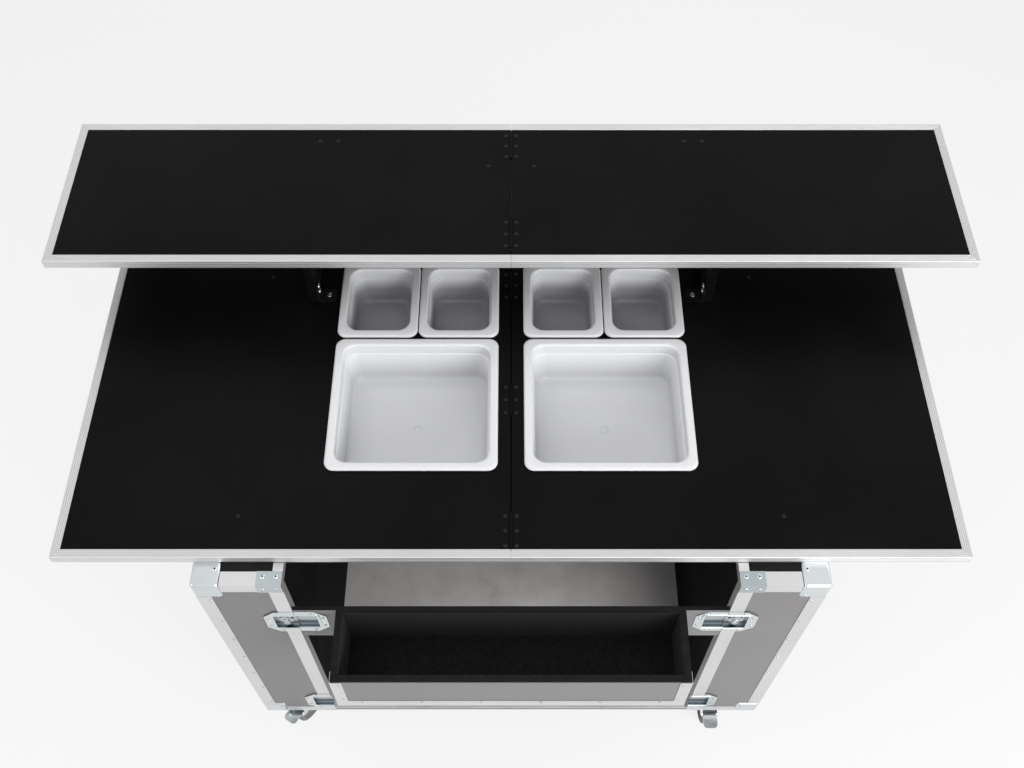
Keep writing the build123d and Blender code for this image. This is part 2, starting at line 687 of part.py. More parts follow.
def rack_trim():
    """The angle under the front edge and the upright strips on the front corners."""
    half = RACK_WIDTH / 2
    trim = angle_along_x(RACK_FRONT, RACK_BOTTOM, ANGLE_LEG, ANGLE_LEG, -half, half)
    strip = angle_along_z(half, RACK_FRONT, -RACK_STRIP, RACK_STRIP, RACK_BOTTOM, RACK_TOP - RACK_LINING)
    return trim + strip + mirrored(strip)


# Casters

def caster_places():
    """Where each kingpin stands, and how far its caster is turned."""
    x = HALF_CASE - CASTER_INSET_X
    service = SERVICE_Y + CASTER_INSET_Y
    guest = GUEST_Y - CASTER_INSET_Y
    return {
        "service_left": (-x, service, SERVICE_LEFT_TURN),
        "service_right": (x, service, SERVICE_RIGHT_TURN),
        "guest_left": (-x, guest, GUEST_LEFT_TURN),
        "guest_right": (x, guest, GUEST_RIGHT_TURN),
    }


def crown_top():
    return CASTER_HEIGHT - CASTER_PLATE - SIDE_CLEARANCE


def caster_plate(x, y):
    """The top plate with the kingpin riveted into it."""
    under = CASTER_HEIGHT - CASTER_PLATE
    half_x = CASTER_PLATE_X / 2
    half_y = CASTER_PLATE_Y / 2
    plate = slab(x - half_x, x + half_x, y - half_y, y + half_y, under, CASTER_HEIGHT)
    pin_end = crown_top() - CROWN_HEIGHT - SIDE_CLEARANCE
    plate += rod_along_z(x, y, pin_end, CASTER_HEIGHT, KINGPIN_RADIUS)
    return plate + rod_along_z(x, y, pin_end - KINGPIN_HEAD, pin_end, KINGPIN_HEAD_RADIUS)


def fork_leg_x():
    """Inner and outer face of a fork leg, from the middle of the wheel."""
    inner = WHEEL_WIDTH / 2 + FORK_GAP
    return inner, inner + FORK_WALL


def caster_fork(braked):
    """A crown on the kingpin, and two legs that reach back to the axle and, if braked, to the pedal's pin."""
    inner, outer = fork_leg_x()
    top = crown_top()
    axle_y = CASTER_OFFSET
    crown_foot = top - CROWN_HEIGHT
    fork = rod_along_z(0, 0, crown_foot, top, CROWN_RADIUS)
    fork += slab(-outer, outer, -CROWN_RADIUS / 2, axle_y, crown_foot + FORK_WALL, top - FORK_WALL)
    legs = [
        (-CROWN_RADIUS / 2, top - FORK_WALL),
        (axle_y + FORK_EYE, top - FORK_WALL),
        (axle_y + FORK_EYE, WHEEL_RADIUS),
        (axle_y, WHEEL_RADIUS - FORK_EYE),
        (axle_y - FORK_EYE, WHEEL_RADIUS),
    ]
    plane = Plane(origin=(inner, 0, 0), x_dir=(0, 1, 0), z_dir=(1, 0, 0))
    leg = extrude(plane * make_face(Polyline(*legs, close=True)), FORK_WALL)
    pin_y = axle_y + PEDAL_AHEAD
    pin_z = WHEEL_RADIUS + PEDAL_ABOVE
    if braked:
        arm_foot = pin_z - 2 * PEDAL_BOSS
        leg += slab(inner, outer, axle_y, pin_y, arm_foot, top - FORK_WALL)
        leg += rod_along_x(inner, outer, pin_y, pin_z, 2 * PEDAL_BOSS - FORK_WALL)
    fork += leg + mirrored(leg)
    fork -= rod_along_z(0, 0, crown_foot - PLY, top + PLY, KINGPIN_RADIUS + RUNNING_CLEARANCE)
    fork -= rod_along_x(-outer, outer, axle_y, WHEEL_RADIUS, AXLE_RADIUS + RUNNING_CLEARANCE)
    # The wheel and the kingpin's head turn in a hollow under the crown.
    fork -= rod_along_x(-inner, inner, axle_y, WHEEL_RADIUS, WHEEL_RADIUS + FORK_GAP)
    if braked:
        fork -= rod_along_x(-outer, outer, pin_y, pin_z, PEDAL_PIN_RADIUS + RUNNING_CLEARANCE)
    return fork


def caster_wheel():
    half = WHEEL_WIDTH / 2
    hub = half + FORK_GAP - SIDE_CLEARANCE
    tread = rod_along_x(-half, half, CASTER_OFFSET, WHEEL_RADIUS, WHEEL_RADIUS)
    tread = fillet(tread.edges().filter_by(GeomType.CIRCLE), WHEEL_ROUND)
    wheel = tread + rod_along_x(-hub, hub, CASTER_OFFSET, WHEEL_RADIUS, WHEEL_HUB_RADIUS)
    return wheel - rod_along_x(-hub, hub, CASTER_OFFSET, WHEEL_RADIUS, AXLE_RADIUS + RUNNING_CLEARANCE)


def caster_axle():
    """An axle bolt through both legs, with a head at each end."""
    _, outer = fork_leg_x()
    axle = rod_along_x(-outer, outer, CASTER_OFFSET, WHEEL_RADIUS, AXLE_RADIUS)
    head = rod_along_x(outer, outer + AXLE_HEAD, CASTER_OFFSET, WHEEL_RADIUS, AXLE_HEAD_RADIUS)
    return axle + head + mirrored(head)


def brake_pedal():
    """A foot lever on a pin through the fork's arms, behind and above the wheel."""
    inner, outer = fork_leg_x()
    pin_y = CASTER_OFFSET + PEDAL_AHEAD
    pin_z = WHEEL_RADIUS + PEDAL_ABOVE
    half = inner - SIDE_CLEARANCE
    pedal = rod_along_x(-outer, outer, pin_y, pin_z, PEDAL_PIN_RADIUS)
    pedal += rod_along_x(-half, half, pin_y, pin_z, PEDAL_BOSS)
    plate_top = pin_z + PEDAL_BOSS
    plate = slab(-half, half, pin_y, pin_y + PEDAL_LENGTH, plate_top - PEDAL_WALL, plate_top)
    plate = fillet(plate.edges().filter_by(Axis.Z).group_by(Axis.Y)[-1], PEDAL_ROUND)
    return pedal + plate


def case_nodes():
    return {
        "base_board": base_board(),
        "cavity_floor": cavity_floor(),
        "outer_walls": both_sides(outer_wall()),
        "inner_walls": both_sides(inner_wall()),
        "column_faces": both_sides(column_face()),
        "column_tops": both_sides(column_top()),
        "guest_wall": guest_wall(),
        "column_frames": both_sides(column_frame()),
        "guest_side_frame": guest_side_frame(),
        "corner_caps": corner_caps(),
        "inner_brackets": both_sides(inner_bracket()),
        "latch_dishes": latch_dishes(),
        "left_latch_key": mirrored(latch_key()),
        "right_latch_key": latch_key(),
    }


def worktop_nodes():
    board = worktop_board()
    edge = top_edge(WORKTOP_WIDTH / 2, WORKTOP_FRONT, WORKTOP_DEPTH, WORKTOP_BOTTOM)
    rows = worktop_rows()
    nodes = {
        "left_worktop": mirrored(board),
        "right_worktop": board,
        "left_worktop_edge": mirrored(edge),
        "right_worktop_edge": edge,
        "left_worktop_hinges": left_hinges(rows, WORKTOP_TOP),
        "right_worktop_hinges": right_hinges(rows, WORKTOP_TOP),
        "left_foot_bracket": mirrored(foot_bracket()),
        "right_foot_bracket": foot_bracket(),
    }
    for name, size_x, size_y, depth, x, y in pan_places():
        right_pan = pan(size_x, size_y, depth, x, y)
        nodes["left_" + name] = mirrored(right_pan)
        nodes["right_" + name] = right_pan
    return nodes


def bar_nodes():
    board = bar_board()
    edge = top_edge(BAR_WIDTH / 2, BAR_FRONT, BAR_DEPTH, BAR_BOTTOM)
    rows = bar_rows()
    return {
        "left_bar_top": mirrored(board),
        "right_bar_top": board,
        "left_bar_edge": mirrored(edge),
        "right_bar_edge": edge,
        "left_bar_hinges": left_hinges(rows, BAR_TOP),
        "right_bar_hinges": right_hinges(rows, BAR_TOP),
        "left_support": mirrored(support()),
        "right_support": support(),
        "left_support_hinge": mirrored(support_hinge()),
        "right_support_hinge": support_hinge(),
    }


def rack_nodes():
    return {
        "rack_back_panel": rack_back_panel(),
        "rack_floor": rack_floor(),
        "rack_front": rack_front(),
        "rack_ends": both_sides(rack_end()),
        "rack_lining": rack_lining(),
        "rack_trim": rack_trim(),
        "rack_keepers": both_sides(rack_keeper()),
    }


def caster_nodes():
    """The casters, drawn about an upright line and turned and moved to their kingpins."""
    nodes = {"caster_plates": group(*[caster_plate(x, y) for x, y, _ in caster_places().values()])}
    for place, (x, y, turn) in caster_places().items():
        braked = place.startswith("service")
        stand = Pos(x, y, 0) * Rot(0, 0, turn)
        nodes[place + "_fork"] = stand * caster_fork(braked)
        nodes[place + "_wheel"] = stand * caster_wheel()
        nodes[place + "_axle"] = stand * caster_axle()
        if braked:
            nodes[place + "_brake_pedal"] = stand * brake_pedal()
    return nodes


os.makedirs("parts", exist_ok=True)
for nodes in (case_nodes(), worktop_nodes(), bar_nodes(), rack_nodes(), caster_nodes()):
    for name, shape in nodes.items():
        export_step(shape, f"parts/{name}.step")
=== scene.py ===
# %% [markdown]
# # A folding bar, dressed for its photograph
# The bar is a flight case on casters with a worktop, food pans, a raised bar top and a speed rack.
# Its construction comes ready made as a fixed frame: every board, hinge, latch and wheel at its real size.
# This lesson gives those parts their finishes, and adds or replaces the small shapes that the eye
# looks for, such as ribbed metal edges, rolled pan rims, rivets and screws.

# %% Load the frame
import json
import math

import bpy
import numpy as np
from mathutils import Matrix, Vector


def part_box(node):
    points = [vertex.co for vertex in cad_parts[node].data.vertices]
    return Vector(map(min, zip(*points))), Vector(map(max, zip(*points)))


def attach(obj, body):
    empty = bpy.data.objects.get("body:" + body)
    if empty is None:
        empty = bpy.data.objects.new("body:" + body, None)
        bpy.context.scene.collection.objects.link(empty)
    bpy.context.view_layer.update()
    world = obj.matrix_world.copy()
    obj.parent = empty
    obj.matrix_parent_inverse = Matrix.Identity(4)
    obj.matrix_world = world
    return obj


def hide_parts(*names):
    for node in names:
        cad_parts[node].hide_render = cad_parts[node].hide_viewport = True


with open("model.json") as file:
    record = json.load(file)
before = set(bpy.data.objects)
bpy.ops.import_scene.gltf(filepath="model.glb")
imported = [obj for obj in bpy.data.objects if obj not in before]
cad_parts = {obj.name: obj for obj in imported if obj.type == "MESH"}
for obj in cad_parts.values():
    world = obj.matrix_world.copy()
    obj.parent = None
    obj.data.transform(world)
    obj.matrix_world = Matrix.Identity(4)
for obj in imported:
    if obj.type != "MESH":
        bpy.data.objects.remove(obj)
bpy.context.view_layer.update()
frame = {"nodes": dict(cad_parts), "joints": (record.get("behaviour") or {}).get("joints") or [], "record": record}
NODES = frame["nodes"]
MM = 0.001

# %% [markdown]
# ## Camera
# The bar was photographed from a ladder on the bartender's side, from the middle and looking down.
# A camera could be aimed with a Track To constraint, but a pitch written as a number is easier to fit.
# So the camera starts out looking straight down and is tilted up towards the guests, and its lens is
# written as the focal length in pixels that a photograph gives.

# %% Place the camera
IMAGE_WIDTH = 1024
FOCAL_PIXELS = 1103
SENSOR_WIDTH = 36.0
CAMERA_PLACE = (0.002, -1.264, 2.931)
CAMERA_PITCH = 32.89


def place_camera():
    """Adds the camera: looking down, then pitched about X towards the guests."""
    data = bpy.data.cameras.new("ladder_camera")
    data.sensor_width = SENSOR_WIDTH
    data.lens = FOCAL_PIXELS / IMAGE_WIDTH * SENSOR_WIDTH
    camera = bpy.data.objects.new("ladder_camera", data)
    bpy.context.scene.collection.objects.link(camera)
    turn = Matrix.Rotation(math.radians(CAMERA_PITCH), 4, "X")
    camera.matrix_world = Matrix.Translation(CAMERA_PLACE) @ turn
    bpy.context.scene.camera = camera
    return camera


camera = place_camera()
print("lens in mm:", round(camera.data.lens, 1))

# %% [markdown]
# ## Studio
# A product studio lights such a bar with large soft boxes over a white sweep. Three area lamps and a
# white world do the same here. The world counts as white for the camera and for reflections, so that
# bare metal shows a bright room, and is dimmer as a light, so that the lamps still shape the object.
# The lamp overhead stays out of the reflections, or it would burn out every metal edge below it.

# %% Make the room white
WORLD_LIGHT = 0.22


def range_node(tree, value, low, high, to_low=0.0, to_high=1.0):
    """Maps value from low..high to to_low..to_high, clamped."""
    node = tree.nodes.new("ShaderNodeMapRange")
    for label, number in (("From Min", low), ("From Max", high), ("To Min", to_low), ("To Max", to_high)):
        node.inputs[label].default_value = number
    tree.links.new(value, node.inputs["Value"])
    return node.outputs["Result"]


def math_node(tree, operation, first, second):
    """One step of arithmetic, on sockets or plain numbers."""
    node = tree.nodes.new("ShaderNodeMath")
    node.operation = operation
    for socket, value in zip(node.inputs, (first, second)):
        if isinstance(value, (int, float)):
            socket.default_value = value
        else:
            tree.links.new(value, socket)
    return node.outputs["Value"]


def white_rays(tree):
    """A value of 1 for rays from the camera, a mirror or glass, and 0 for rays that only carry light."""
    rays = tree.nodes.new("ShaderNodeLightPath").outputs
    mirrored = math_node(tree, "MAXIMUM", rays["Is Camera Ray"], rays["Is Glossy Ray"])
    return math_node(tree, "MAXIMUM", mirrored, rays["Is Transmission Ray"])


def build_world():
    world = bpy.data.worlds.new("white_room")
    bpy.context.scene.world = world
    world.use_nodes = True
    tree = world.node_tree
    background = tree.nodes["Background"]
    background.inputs["Color"].default_value = (1.0, 1.0, 1.0, 1.0)
    strength = range_node(tree, white_rays(tree), 0.0, 1.0, WORLD_LIGHT, 1.0)
    tree.links.new(strength, background.inputs["Strength"])


build_world()
print("world:", bpy.context.scene.world.name, "as a light:", WORLD_LIGHT)

# %% Roll out the paper
FLOOR_SIZE = 14.0
PAPER_WHITE = (0.86, 0.86, 0.86, 1.0)
PAPER_GLOW = 0.8


def sweep_material():
    """White paper: a plain matte white that the camera sees a little brighter than it is lit."""
    material = bpy.data.materials.new("white_paper")
    material.use_nodes = True
    tree = material.node_tree
    paper = tree.nodes["Principled BSDF"]
    paper.inputs["Base Color"].default_value = PAPER_WHITE
    paper.inputs["Roughness"].default_value = 0.9
    glow = tree.nodes.new("ShaderNodeEmission")
    mix = tree.nodes.new("ShaderNodeMixShader")
    share = math_node(tree, "MULTIPLY", white_rays(tree), PAPER_GLOW)
    tree.links.new(share, mix.inputs[0])
    tree.links.new(paper.outputs["BSDF"], mix.inputs[1])
    tree.links.new(glow.outputs["Emission"], mix.inputs[2])
    tree.links.new(mix.outputs["Shader"], tree.nodes["Material Output"].inputs["Surface"])
    return material


def add_floor():
    """A square of paper under the bar, as part of the stage."""
    half = FLOOR_SIZE / 2
    mesh = bpy.data.meshes.new("studio_floor")
    corners = [(-half, -half, 0), (half, -half, 0), (half, half, 0), (-half, half, 0)]
    mesh.from_pydata(corners, [], [(0, 1, 2, 3)])
    floor = bpy.data.objects.new("studio_floor", mesh)
    bpy.context.scene.collection.objects.link(floor)
    mesh.materials.append(sweep_material())


add_floor()
print("paper in m:", FLOOR_SIZE)

# %% Hang the soft boxes
MIDDLE = (0.0, 0.0, 0.8)


def soft_box(name, place, target, size, power):
    """A square area lamp at place, turned to look at target."""
    data = bpy.data.lights.new(name, "AREA")
    data.shape = "SQUARE"
    data.size = size
    data.energy = power
    lamp = bpy.data.objects.new(name, data)
    bpy.context.scene.collection.objects.link(lamp)
    lamp.location = place
    aim = Vector(target) - Vector(place)
    lamp.rotation_mode = "QUATERNION"
    lamp.rotation_quaternion = aim.to_track_quat("-Z", "Y")
    return lamp


top_box = soft_box("top_box", (-0.3, 0.2, 3.9), MIDDLE, 4.2, 72)
top_box.visible_glossy = False
soft_box("front_box", (1.8, -2.8, 1.9), (0.0, -0.4, 0.6), 2.6, 105)
soft_box("left_box", (-2.6, -1.8, 2.0), MIDDLE, 2.4, 10)
bpy.context.scene.view_settings.view_transform = "Standard"
print("lamps:", [lamp.name for lamp in bpy.data.lights])

# %% [markdown]
# ## Shared surface effects
# Several finishes share an effect: laminates and plastics have a fine skin, metals a drawn grain, and
# everything that is used collects smudges. Each effect is a node group, made once and placed in each
# material with its own values. The groups read Object coordinates, so a pattern keeps its real size.

# %% Node groups for skin, drawn grain and smudges
def new_group(name, inputs, outputs):
    """An empty shader group with number inputs (name and default) and number outputs."""
    group = bpy.data.node_groups.new(name, "ShaderNodeTree")
    for label, value in inputs:
        socket = group.interface.new_socket(label, in_out="INPUT", socket_type="NodeSocketFloat")
        socket.default_value = value
    for label in outputs:
        group.interface.new_socket(label, in_out="OUTPUT", socket_type="NodeSocketFloat")
    return group, group.nodes.new("NodeGroupInput"), group.nodes.new("NodeGroupOutput")


def object_points(tree):
    return tree.nodes.new("ShaderNodeTexCoord").outputs["Object"]


def noise_node(tree, points, scale=None, detail=2.0, roughness=0.5):
    """A noise texture on the given points. Without a scale, its Scale socket is left for a link."""
    noise = tree.nodes.new("ShaderNodeTexNoise")
    tree.links.new(points, noise.inputs["Vector"])
    noise.inputs["Detail"].default_value = detail
    noise.inputs["Roughness"].default_value = roughness
    if scale is not None:
        noise.inputs["Scale"].default_value = scale
    return noise


def make_skin_group():
    """Moulded or pressed skin: small rounded pits from Voronoi distance, softened by a finer noise."""
    group, given, result = new_group("fine_skin", [("Grain Scale", 900.0)], ["Height"])
    points = object_points(group)
    pits = group.nodes.new("ShaderNodeTexVoronoi")
    group.links.new(points, pits.inputs["Vector"])
    group.links.new(given.outputs["Grain Scale"], pits.inputs["Scale"])
    fine = noise_node(group, points, detail=3.0)
    group.links.new(given.outputs["Grain Scale"], fine.inputs["Scale"])
    height = math_node(group, "ADD", pits.outputs["Distance"], fine.outputs["Fac"])
    group.links.new(height, result.inputs["Height"])
    return group


def make_smudge_group():
    """Wiped and handled areas: broad noise for the cloudy film, thin bands of noise for wipe marks."""
    scales = [("Cloud Scale", 3.0), ("Mark Scale", 14.0)]
    group, given, result = new_group("smudges", scales, ["Film", "Marks"])
    points = object_points(group)
    cloud = noise_node(group, points, detail=4.0, roughness=0.6)
    group.links.new(given.outputs["Cloud Scale"], cloud.inputs["Scale"])
    marks = noise_node(group, points, detail=6.0, roughness=0.7)
    marks.inputs["Distortion"].default_value = 1.2
    group.links.new(given.outputs["Mark Scale"], marks.inputs["Scale"])
    band = math_node(group, "ABSOLUTE", math_node(group, "SUBTRACT", marks.outputs["Fac"], 0.5), 0.0)
    group.links.new(range_node(group, cloud.outputs["Fac"], 0.35, 0.7), result.inputs["Film"])
    group.links.new(range_node(group, band, 0.0, 0.05, 1.0, 0.0), result.inputs["Marks"])
    return group


def make_drawn_group():
    """Drawn or rolled metal: noise on points that are scaled far less along the grain than across it."""
    names = [("Scale X", 10.0), ("Scale Y", 900.0), ("Scale Z", 900.0)]
    group, given, result = new_group("drawn_grain", names, ["Streaks", "Tone"])
    points = object_points(group)
    stretch = group.nodes.new("ShaderNodeCombineXYZ")
    for axis, (label, _) in zip("XYZ", names):
        group.links.new(given.outputs[label], stretch.inputs[axis])
    scaled = group.nodes.new("ShaderNodeVectorMath")
    scaled.operation = "MULTIPLY"
    group.links.new(points, scaled.inputs[0])
    group.links.new(stretch.outputs["Vector"], scaled.inputs[1])
    streaks = noise_node(group, scaled.outputs["Vector"], scale=1.0, detail=3.0)
    tone = noise_node(group, points, scale=6.0, detail=3.0)
    group.links.new(streaks.outputs["Fac"], result.inputs["Streaks"])
    group.links.new(range_node(group, tone.outputs["Fac"], 0.3, 0.7), result.inputs["Tone"])
    return group


SKIN = make_skin_group()
SMUDGES = make_smudge_group()
DRAWN = make_drawn_group()
print("groups:", [group.name for group in (SKIN, SMUDGES, DRAWN)])

# %% [markdown]
# ## Finishes
# Each finish is a Principled shader whose colour, roughness and relief come from those groups. Numbers
# that are the same all over, such as metalness, sit on the shader itself. The black laminate has a
# low specular level because its satin face hardly mirrors the room.

# %% Laminates
LAMINATE_GRAIN, LAMINATE_RELIEF = 1100.0, 0.00006
GREY_FACE = ((0.160, 0.154, 0.154), (0.180, 0.174, 0.174), 0.3, 0.36, 0.35)


def start_material(name, **sockets):
    """A Principled material with plain socket values. Underscores in a name stand for spaces."""
    material = bpy.data.materials.new(name)
    material.use_nodes = True
    tree = material.node_tree
    shader = tree.nodes["Principled BSDF"]
    for label, value in sockets.items():
        shader.inputs[label.replace("_", " ")].default_value = value
    return material, tree, shader


def use_group(tree, group, **values):
    node = tree.nodes.new("ShaderNodeGroup")
    node.node_tree = group
    for label, value in values.items():
        node.inputs[label.replace("_", " ")].default_value = value
    return node


def blend_colours(tree, factor, low, high):
    """Goes from the colour low to the colour high as factor goes from 0 to 1."""
    mix = tree.nodes.new("ShaderNodeMix")
    mix.data_type = "RGBA"
    mix.inputs["A"].default_value = (*low, 1.0)
    mix.inputs["B"].default_value = (*high, 1.0)
    tree.links.new(factor, mix.inputs["Factor"])
    return mix.outputs["Result"]


def add_bump(tree, shader, height, depth, strength=1.0):
    """Relief of the given depth in metres on the shader's normal."""
    bump = tree.nodes.new("ShaderNodeBump")
    bump.inputs["Distance"].default_value = depth
    bump.inputs["Strength"].default_value = strength
    tree.links.new(height, bump.inputs["Height"])
    tree.links.new(bump.outputs["Normal"], shader.inputs["Normal"])


def laminate(name, dark, light, rough_low, rough_high, specular, cloud=3.0):
    """Pressed laminate: a satin skin with a cloudy film of use in its colour and gloss."""
    material, tree, shader = start_material(name, Specular_IOR_Level=specular)
    smudges = use_group(tree, SMUDGES, Cloud_Scale=cloud)
    skin = use_group(tree, SKIN, Grain_Scale=LAMINATE_GRAIN)
    marks = math_node(tree, "MULTIPLY", smudges.outputs["Marks"], 0.04)
    film = math_node(tree, "ADD", smudges.outputs["Film"], marks)
    tree.links.new(blend_colours(tree, film, dark, light), shader.inputs["Base Color"])
    tree.links.new(range_node(tree, film, 0.0, 1.0, rough_low, rough_high), shader.inputs["Roughness"])
    add_bump(tree, shader, skin.outputs["Height"], LAMINATE_RELIEF, 0.5)
    return material


BLACK_LAMINATE = laminate("black_laminate", (0.0026,) * 3, (0.005,) * 3, 0.38, 0.46, 0.06)
GREY_LAMINATE = laminate("grey_laminate", *GREY_FACE)
WALL_LAMINATE = laminate("wall_laminate", (0.0022,) * 3, (0.004,) * 3, 0.5, 0.65, 0.02)
# The column tops are the same black laminate, painted about three times lighter: painted light for the light that
# reaches them under the worktop.
COLUMN_TOP_LIT_LAMINATE = laminate(
    "lit_column_top_laminate", (0.01, 0.01, 0.0105), (0.015, 0.015, 0.0155), 0.4, 0.55, 0.06
)
# The cavity floor is a light grey laminate whose colour is raised further as painted light, for light that reaches
# into the cavity under the worktop.
CAVITY_FLOOR_LIT_LAMINATE = laminate("lit_cavity_floor_laminate", (0.6, 0.58, 0.57), (0.78, 0.76, 0.745), 0.25, 0.5, 0.4, 7.0)
print("nodes in a laminate:", len(BLACK_LAMINATE.node_tree.nodes))

# %% Metals
EDGE_FACE = ((0.66,) * 3, (0.70, 0.70, 0.705), 0.48, 0.56)
GRAIN_ALONG_X, GRAIN_ALONG_Y, GRAIN_ALONG_Z = (2.0, 900.0, 900.0), (900.0, 2.0, 900.0), (500.0, 500.0, 3.0)
PLATED_GRAIN = (60.0,) * 3
PLATED_RELIEF = 0.000006


def place_grain(tree, shader, grain, rough_low, rough_high):
    """Places a drawn grain, whose streaks take the roughness from low to high, and returns its node."""
    scales = dict(zip(("Scale_X", "Scale_Y", "Scale_Z"), grain))
    drawn = use_group(tree, DRAWN, **scales)
    rough = range_node(tree, drawn.outputs["Streaks"], 0.3, 0.7, rough_low, rough_high)
    tree.links.new(rough, shader.inputs["Roughness"])
    return drawn


def metal(name, dark, light, rough_low, rough_high, grain, relief=0.000004):
    """Bare metal with a drawn grain: streaks in its roughness and relief, slow changes in its tone."""
    material, tree, shader = start_material(name, Metallic=1.0)
    drawn = place_grain(tree, shader, grain, rough_low, rough_high)
    tree.links.new(blend_colours(tree, drawn.outputs["Tone"], dark, light), shader.inputs["Base Color"])
    add_bump(tree, shader, drawn.outputs["Streaks"], relief, 0.4)
    return material


EDGE_ALUMINIUM = metal("edge_aluminium", *EDGE_FACE, GRAIN_ALONG_X)
SIDE_ALUMINIUM = metal("side_aluminium", *EDGE_FACE, GRAIN_ALONG_Y)
CASE_ALUMINIUM = metal("case_aluminium", (0.66,) * 3, (0.71, 0.71, 0.715), 0.28, 0.36, GRAIN_ALONG_Z)
ZINC = metal(
    "zinc_steel", (0.58, 0.62, 0.635), (0.68, 0.715, 0.73), 0.16, 0.26, PLATED_GRAIN, PLATED_RELIEF
)
BRACKET_ZINC = metal(
    "bracket_zinc", (0.40, 0.45, 0.47), (0.50, 0.545, 0.56), 0.2, 0.3, PLATED_GRAIN, PLATED_RELIEF
)
RIVET_STEEL = metal("rivet_steel", (0.42, 0.44, 0.46), (0.55, 0.57, 0.59), 0.25, 0.4, (300.0,) * 3)
print("nodes in a metal:", len(ZINC.node_tree.nodes))

# %% Black steel and rubber
PLASTIC_CLOUDS = 9.0


def plastic(name, dark, light, rough_low, rough_high, grain, relief, **sockets):
    """Moulded plastic or rubber: a fine skin and slight clouds of tone."""
    material, tree, shader = start_material(name, **sockets)
    smudges = use_group(tree, SMUDGES, Cloud_Scale=PLASTIC_CLOUDS)
    skin = use_group(tree, SKIN, Grain_Scale=grain)
    film = smudges.outputs["Film"]
    tree.links.new(blend_colours(tree, film, dark, light), shader.inputs["Base Color"])
    tree.links.new(range_node(tree, film, 0.0, 1.0, rough_low, rough_high), shader.inputs["Roughness"])
    add_bump(tree, shader, skin.outputs["Height"], relief, 0.5)
    return material


BLACK_STEEL = plastic(
    "black_steel", (0.004,) * 3, (0.008,) * 3, 0.35, 0.45, 1500.0, 0.00003, Specular_IOR_Level=0.25
)
GREY_RUBBER = plastic("grey_rubber", (0.17, 0.175, 0.18), (0.23, 0.235, 0.24), 0.5, 0.65, 1200.0, 0.00008)
print("nodes in rubber:", len(GREY_RUBBER.node_tree.nodes))

# %% [markdown]
# ## Finishes that change with a place
# A pan is whitest at its rim and has painted shade deeper down, the raw edge of a panel is stained, and a
# pressed dish has painted shade and reflection, dark along its walls. Separate materials would show a hard
# line between them. So one coordinate is mapped to a share from 0 to 1, and the share goes from one colour to the
# next.

# %% Finishes of the pans, the rack panel and its felt
PAN_RIM_WHITE = (0.81, 0.816, 0.836)
PAN_GLOSS = (0.22, 0.25)
PAN_GRAIN, PAN_RELIEF = 250.0, 0.000004
EDGE_STAIN = (0.006,) * 3
STAIN_FROM, STAIN_FULL = 0.6 * MM, 0.2 * MM


def axis_share(tree, axis, low, high):
    """0 where the coordinate along the axis is under low, 1 where it is over high, and even between."""
    parts = tree.nodes.new("ShaderNodeSeparateXYZ")
    tree.links.new(object_points(tree), parts.inputs["Vector"])
    return range_node(tree, parts.outputs[axis], low, high)


def pan_plastic(name, floor_shade_white, shade_starts, shade_full):
    """Thin white moulding with painted shade: light goes through the tub into the case, so its colour is painted
    greyer between two depths.
    """
    material, tree, shader = start_material(name)
    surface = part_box("left_worktop")[1][2]
    # Painted shade: the colour goes from the floor white deep down to the rim white near the surface.
    height = axis_share(tree, "Z", surface - shade_full, surface - shade_starts)
    tree.links.new(blend_colours(tree, height, floor_shade_white, PAN_RIM_WHITE), shader.inputs["Base Color"])
    smudges = use_group(tree, SMUDGES, Cloud_Scale=PLASTIC_CLOUDS)
    rough = range_node(tree, smudges.outputs["Film"], 0.0, 1.0, *PAN_GLOSS)
    tree.links.new(rough, shader.inputs["Roughness"])
    skin = use_group(tree, SKIN, Grain_Scale=PAN_GRAIN)
    add_bump(tree, shader, skin.outputs["Height"], PAN_RELIEF, 0.3)
    return material


def dark_edged_laminate():
    """The rack's grey panel, whose raw top edge is stained black like the inside of the case."""
    material = laminate("dark_edged_laminate", *GREY_FACE)
    tree = material.node_tree
    colour = tree.nodes["Principled BSDF"].inputs["Base Color"]
    face = colour.links[0].from_socket
    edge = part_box("rack_back_panel")[1][2]
    at_edge = axis_share(tree, "Z", edge - STAIN_FROM, edge - STAIN_FULL)
    stained = blend_colours(tree, at_edge, (0, 0, 0), EDGE_STAIN)
    tree.links.new(face, stained.node.inputs["A"])
    tree.links.new(stained, colour)
    return material


def felt_material():
    """Needle felt: a fine noise for its fibres on a broader one for its tufts, and a faint sheen."""
    material, tree, shader = start_material(
        "black_felt", Roughness=0.95, Sheen_Weight=0.04, Sheen_Roughness=0.5, Specular_IOR_Level=0.1
    )
    points = object_points(tree)
    fibre = noise_node(tree, points, scale=900.0, detail=5.0, roughness=0.75)
    tuft = noise_node(tree, points, scale=120.0, detail=3.0)
    broad = math_node(tree, "MULTIPLY", tuft.outputs["Fac"], 0.6)
    height = math_node(tree, "ADD", fibre.outputs["Fac"], broad)
    colour = blend_colours(tree, range_node(tree, height, 0.5, 1.1), (0.005,) * 3, (0.021, 0.021, 0.0215))
    tree.links.new(colour, shader.inputs["Base Color"])
    add_bump(tree, shader, height, 0.0006, 0.8)
    return material


# The small pans lie under the bar top, so their floors get a darker painted shade.
PAN_PLASTIC_WITH_SHADE = pan_plastic("pan_plastic_with_shade", (0.63, 0.633, 0.651), 35.0 * MM, 100.0 * MM)
SMALL_PAN_SHADED_PLASTIC = pan_plastic("small_pan_shaded_plastic", (0.45, 0.451, 0.466), 20.0 * MM, 55.0 * MM)
PANEL_LAMINATE = dark_edged_laminate()
BLACK_FELT = felt_material()
print("nodes in felt:", len(BLACK_FELT.node_tree.nodes))

# %% [markdown]
# ## Finishes on the ready-made parts
# Boards, panels and frames already have the right shape, so they only get a better material. The record
# says which slot each node belongs to, and a slot maps to a finish. A few nodes differ from their slot.

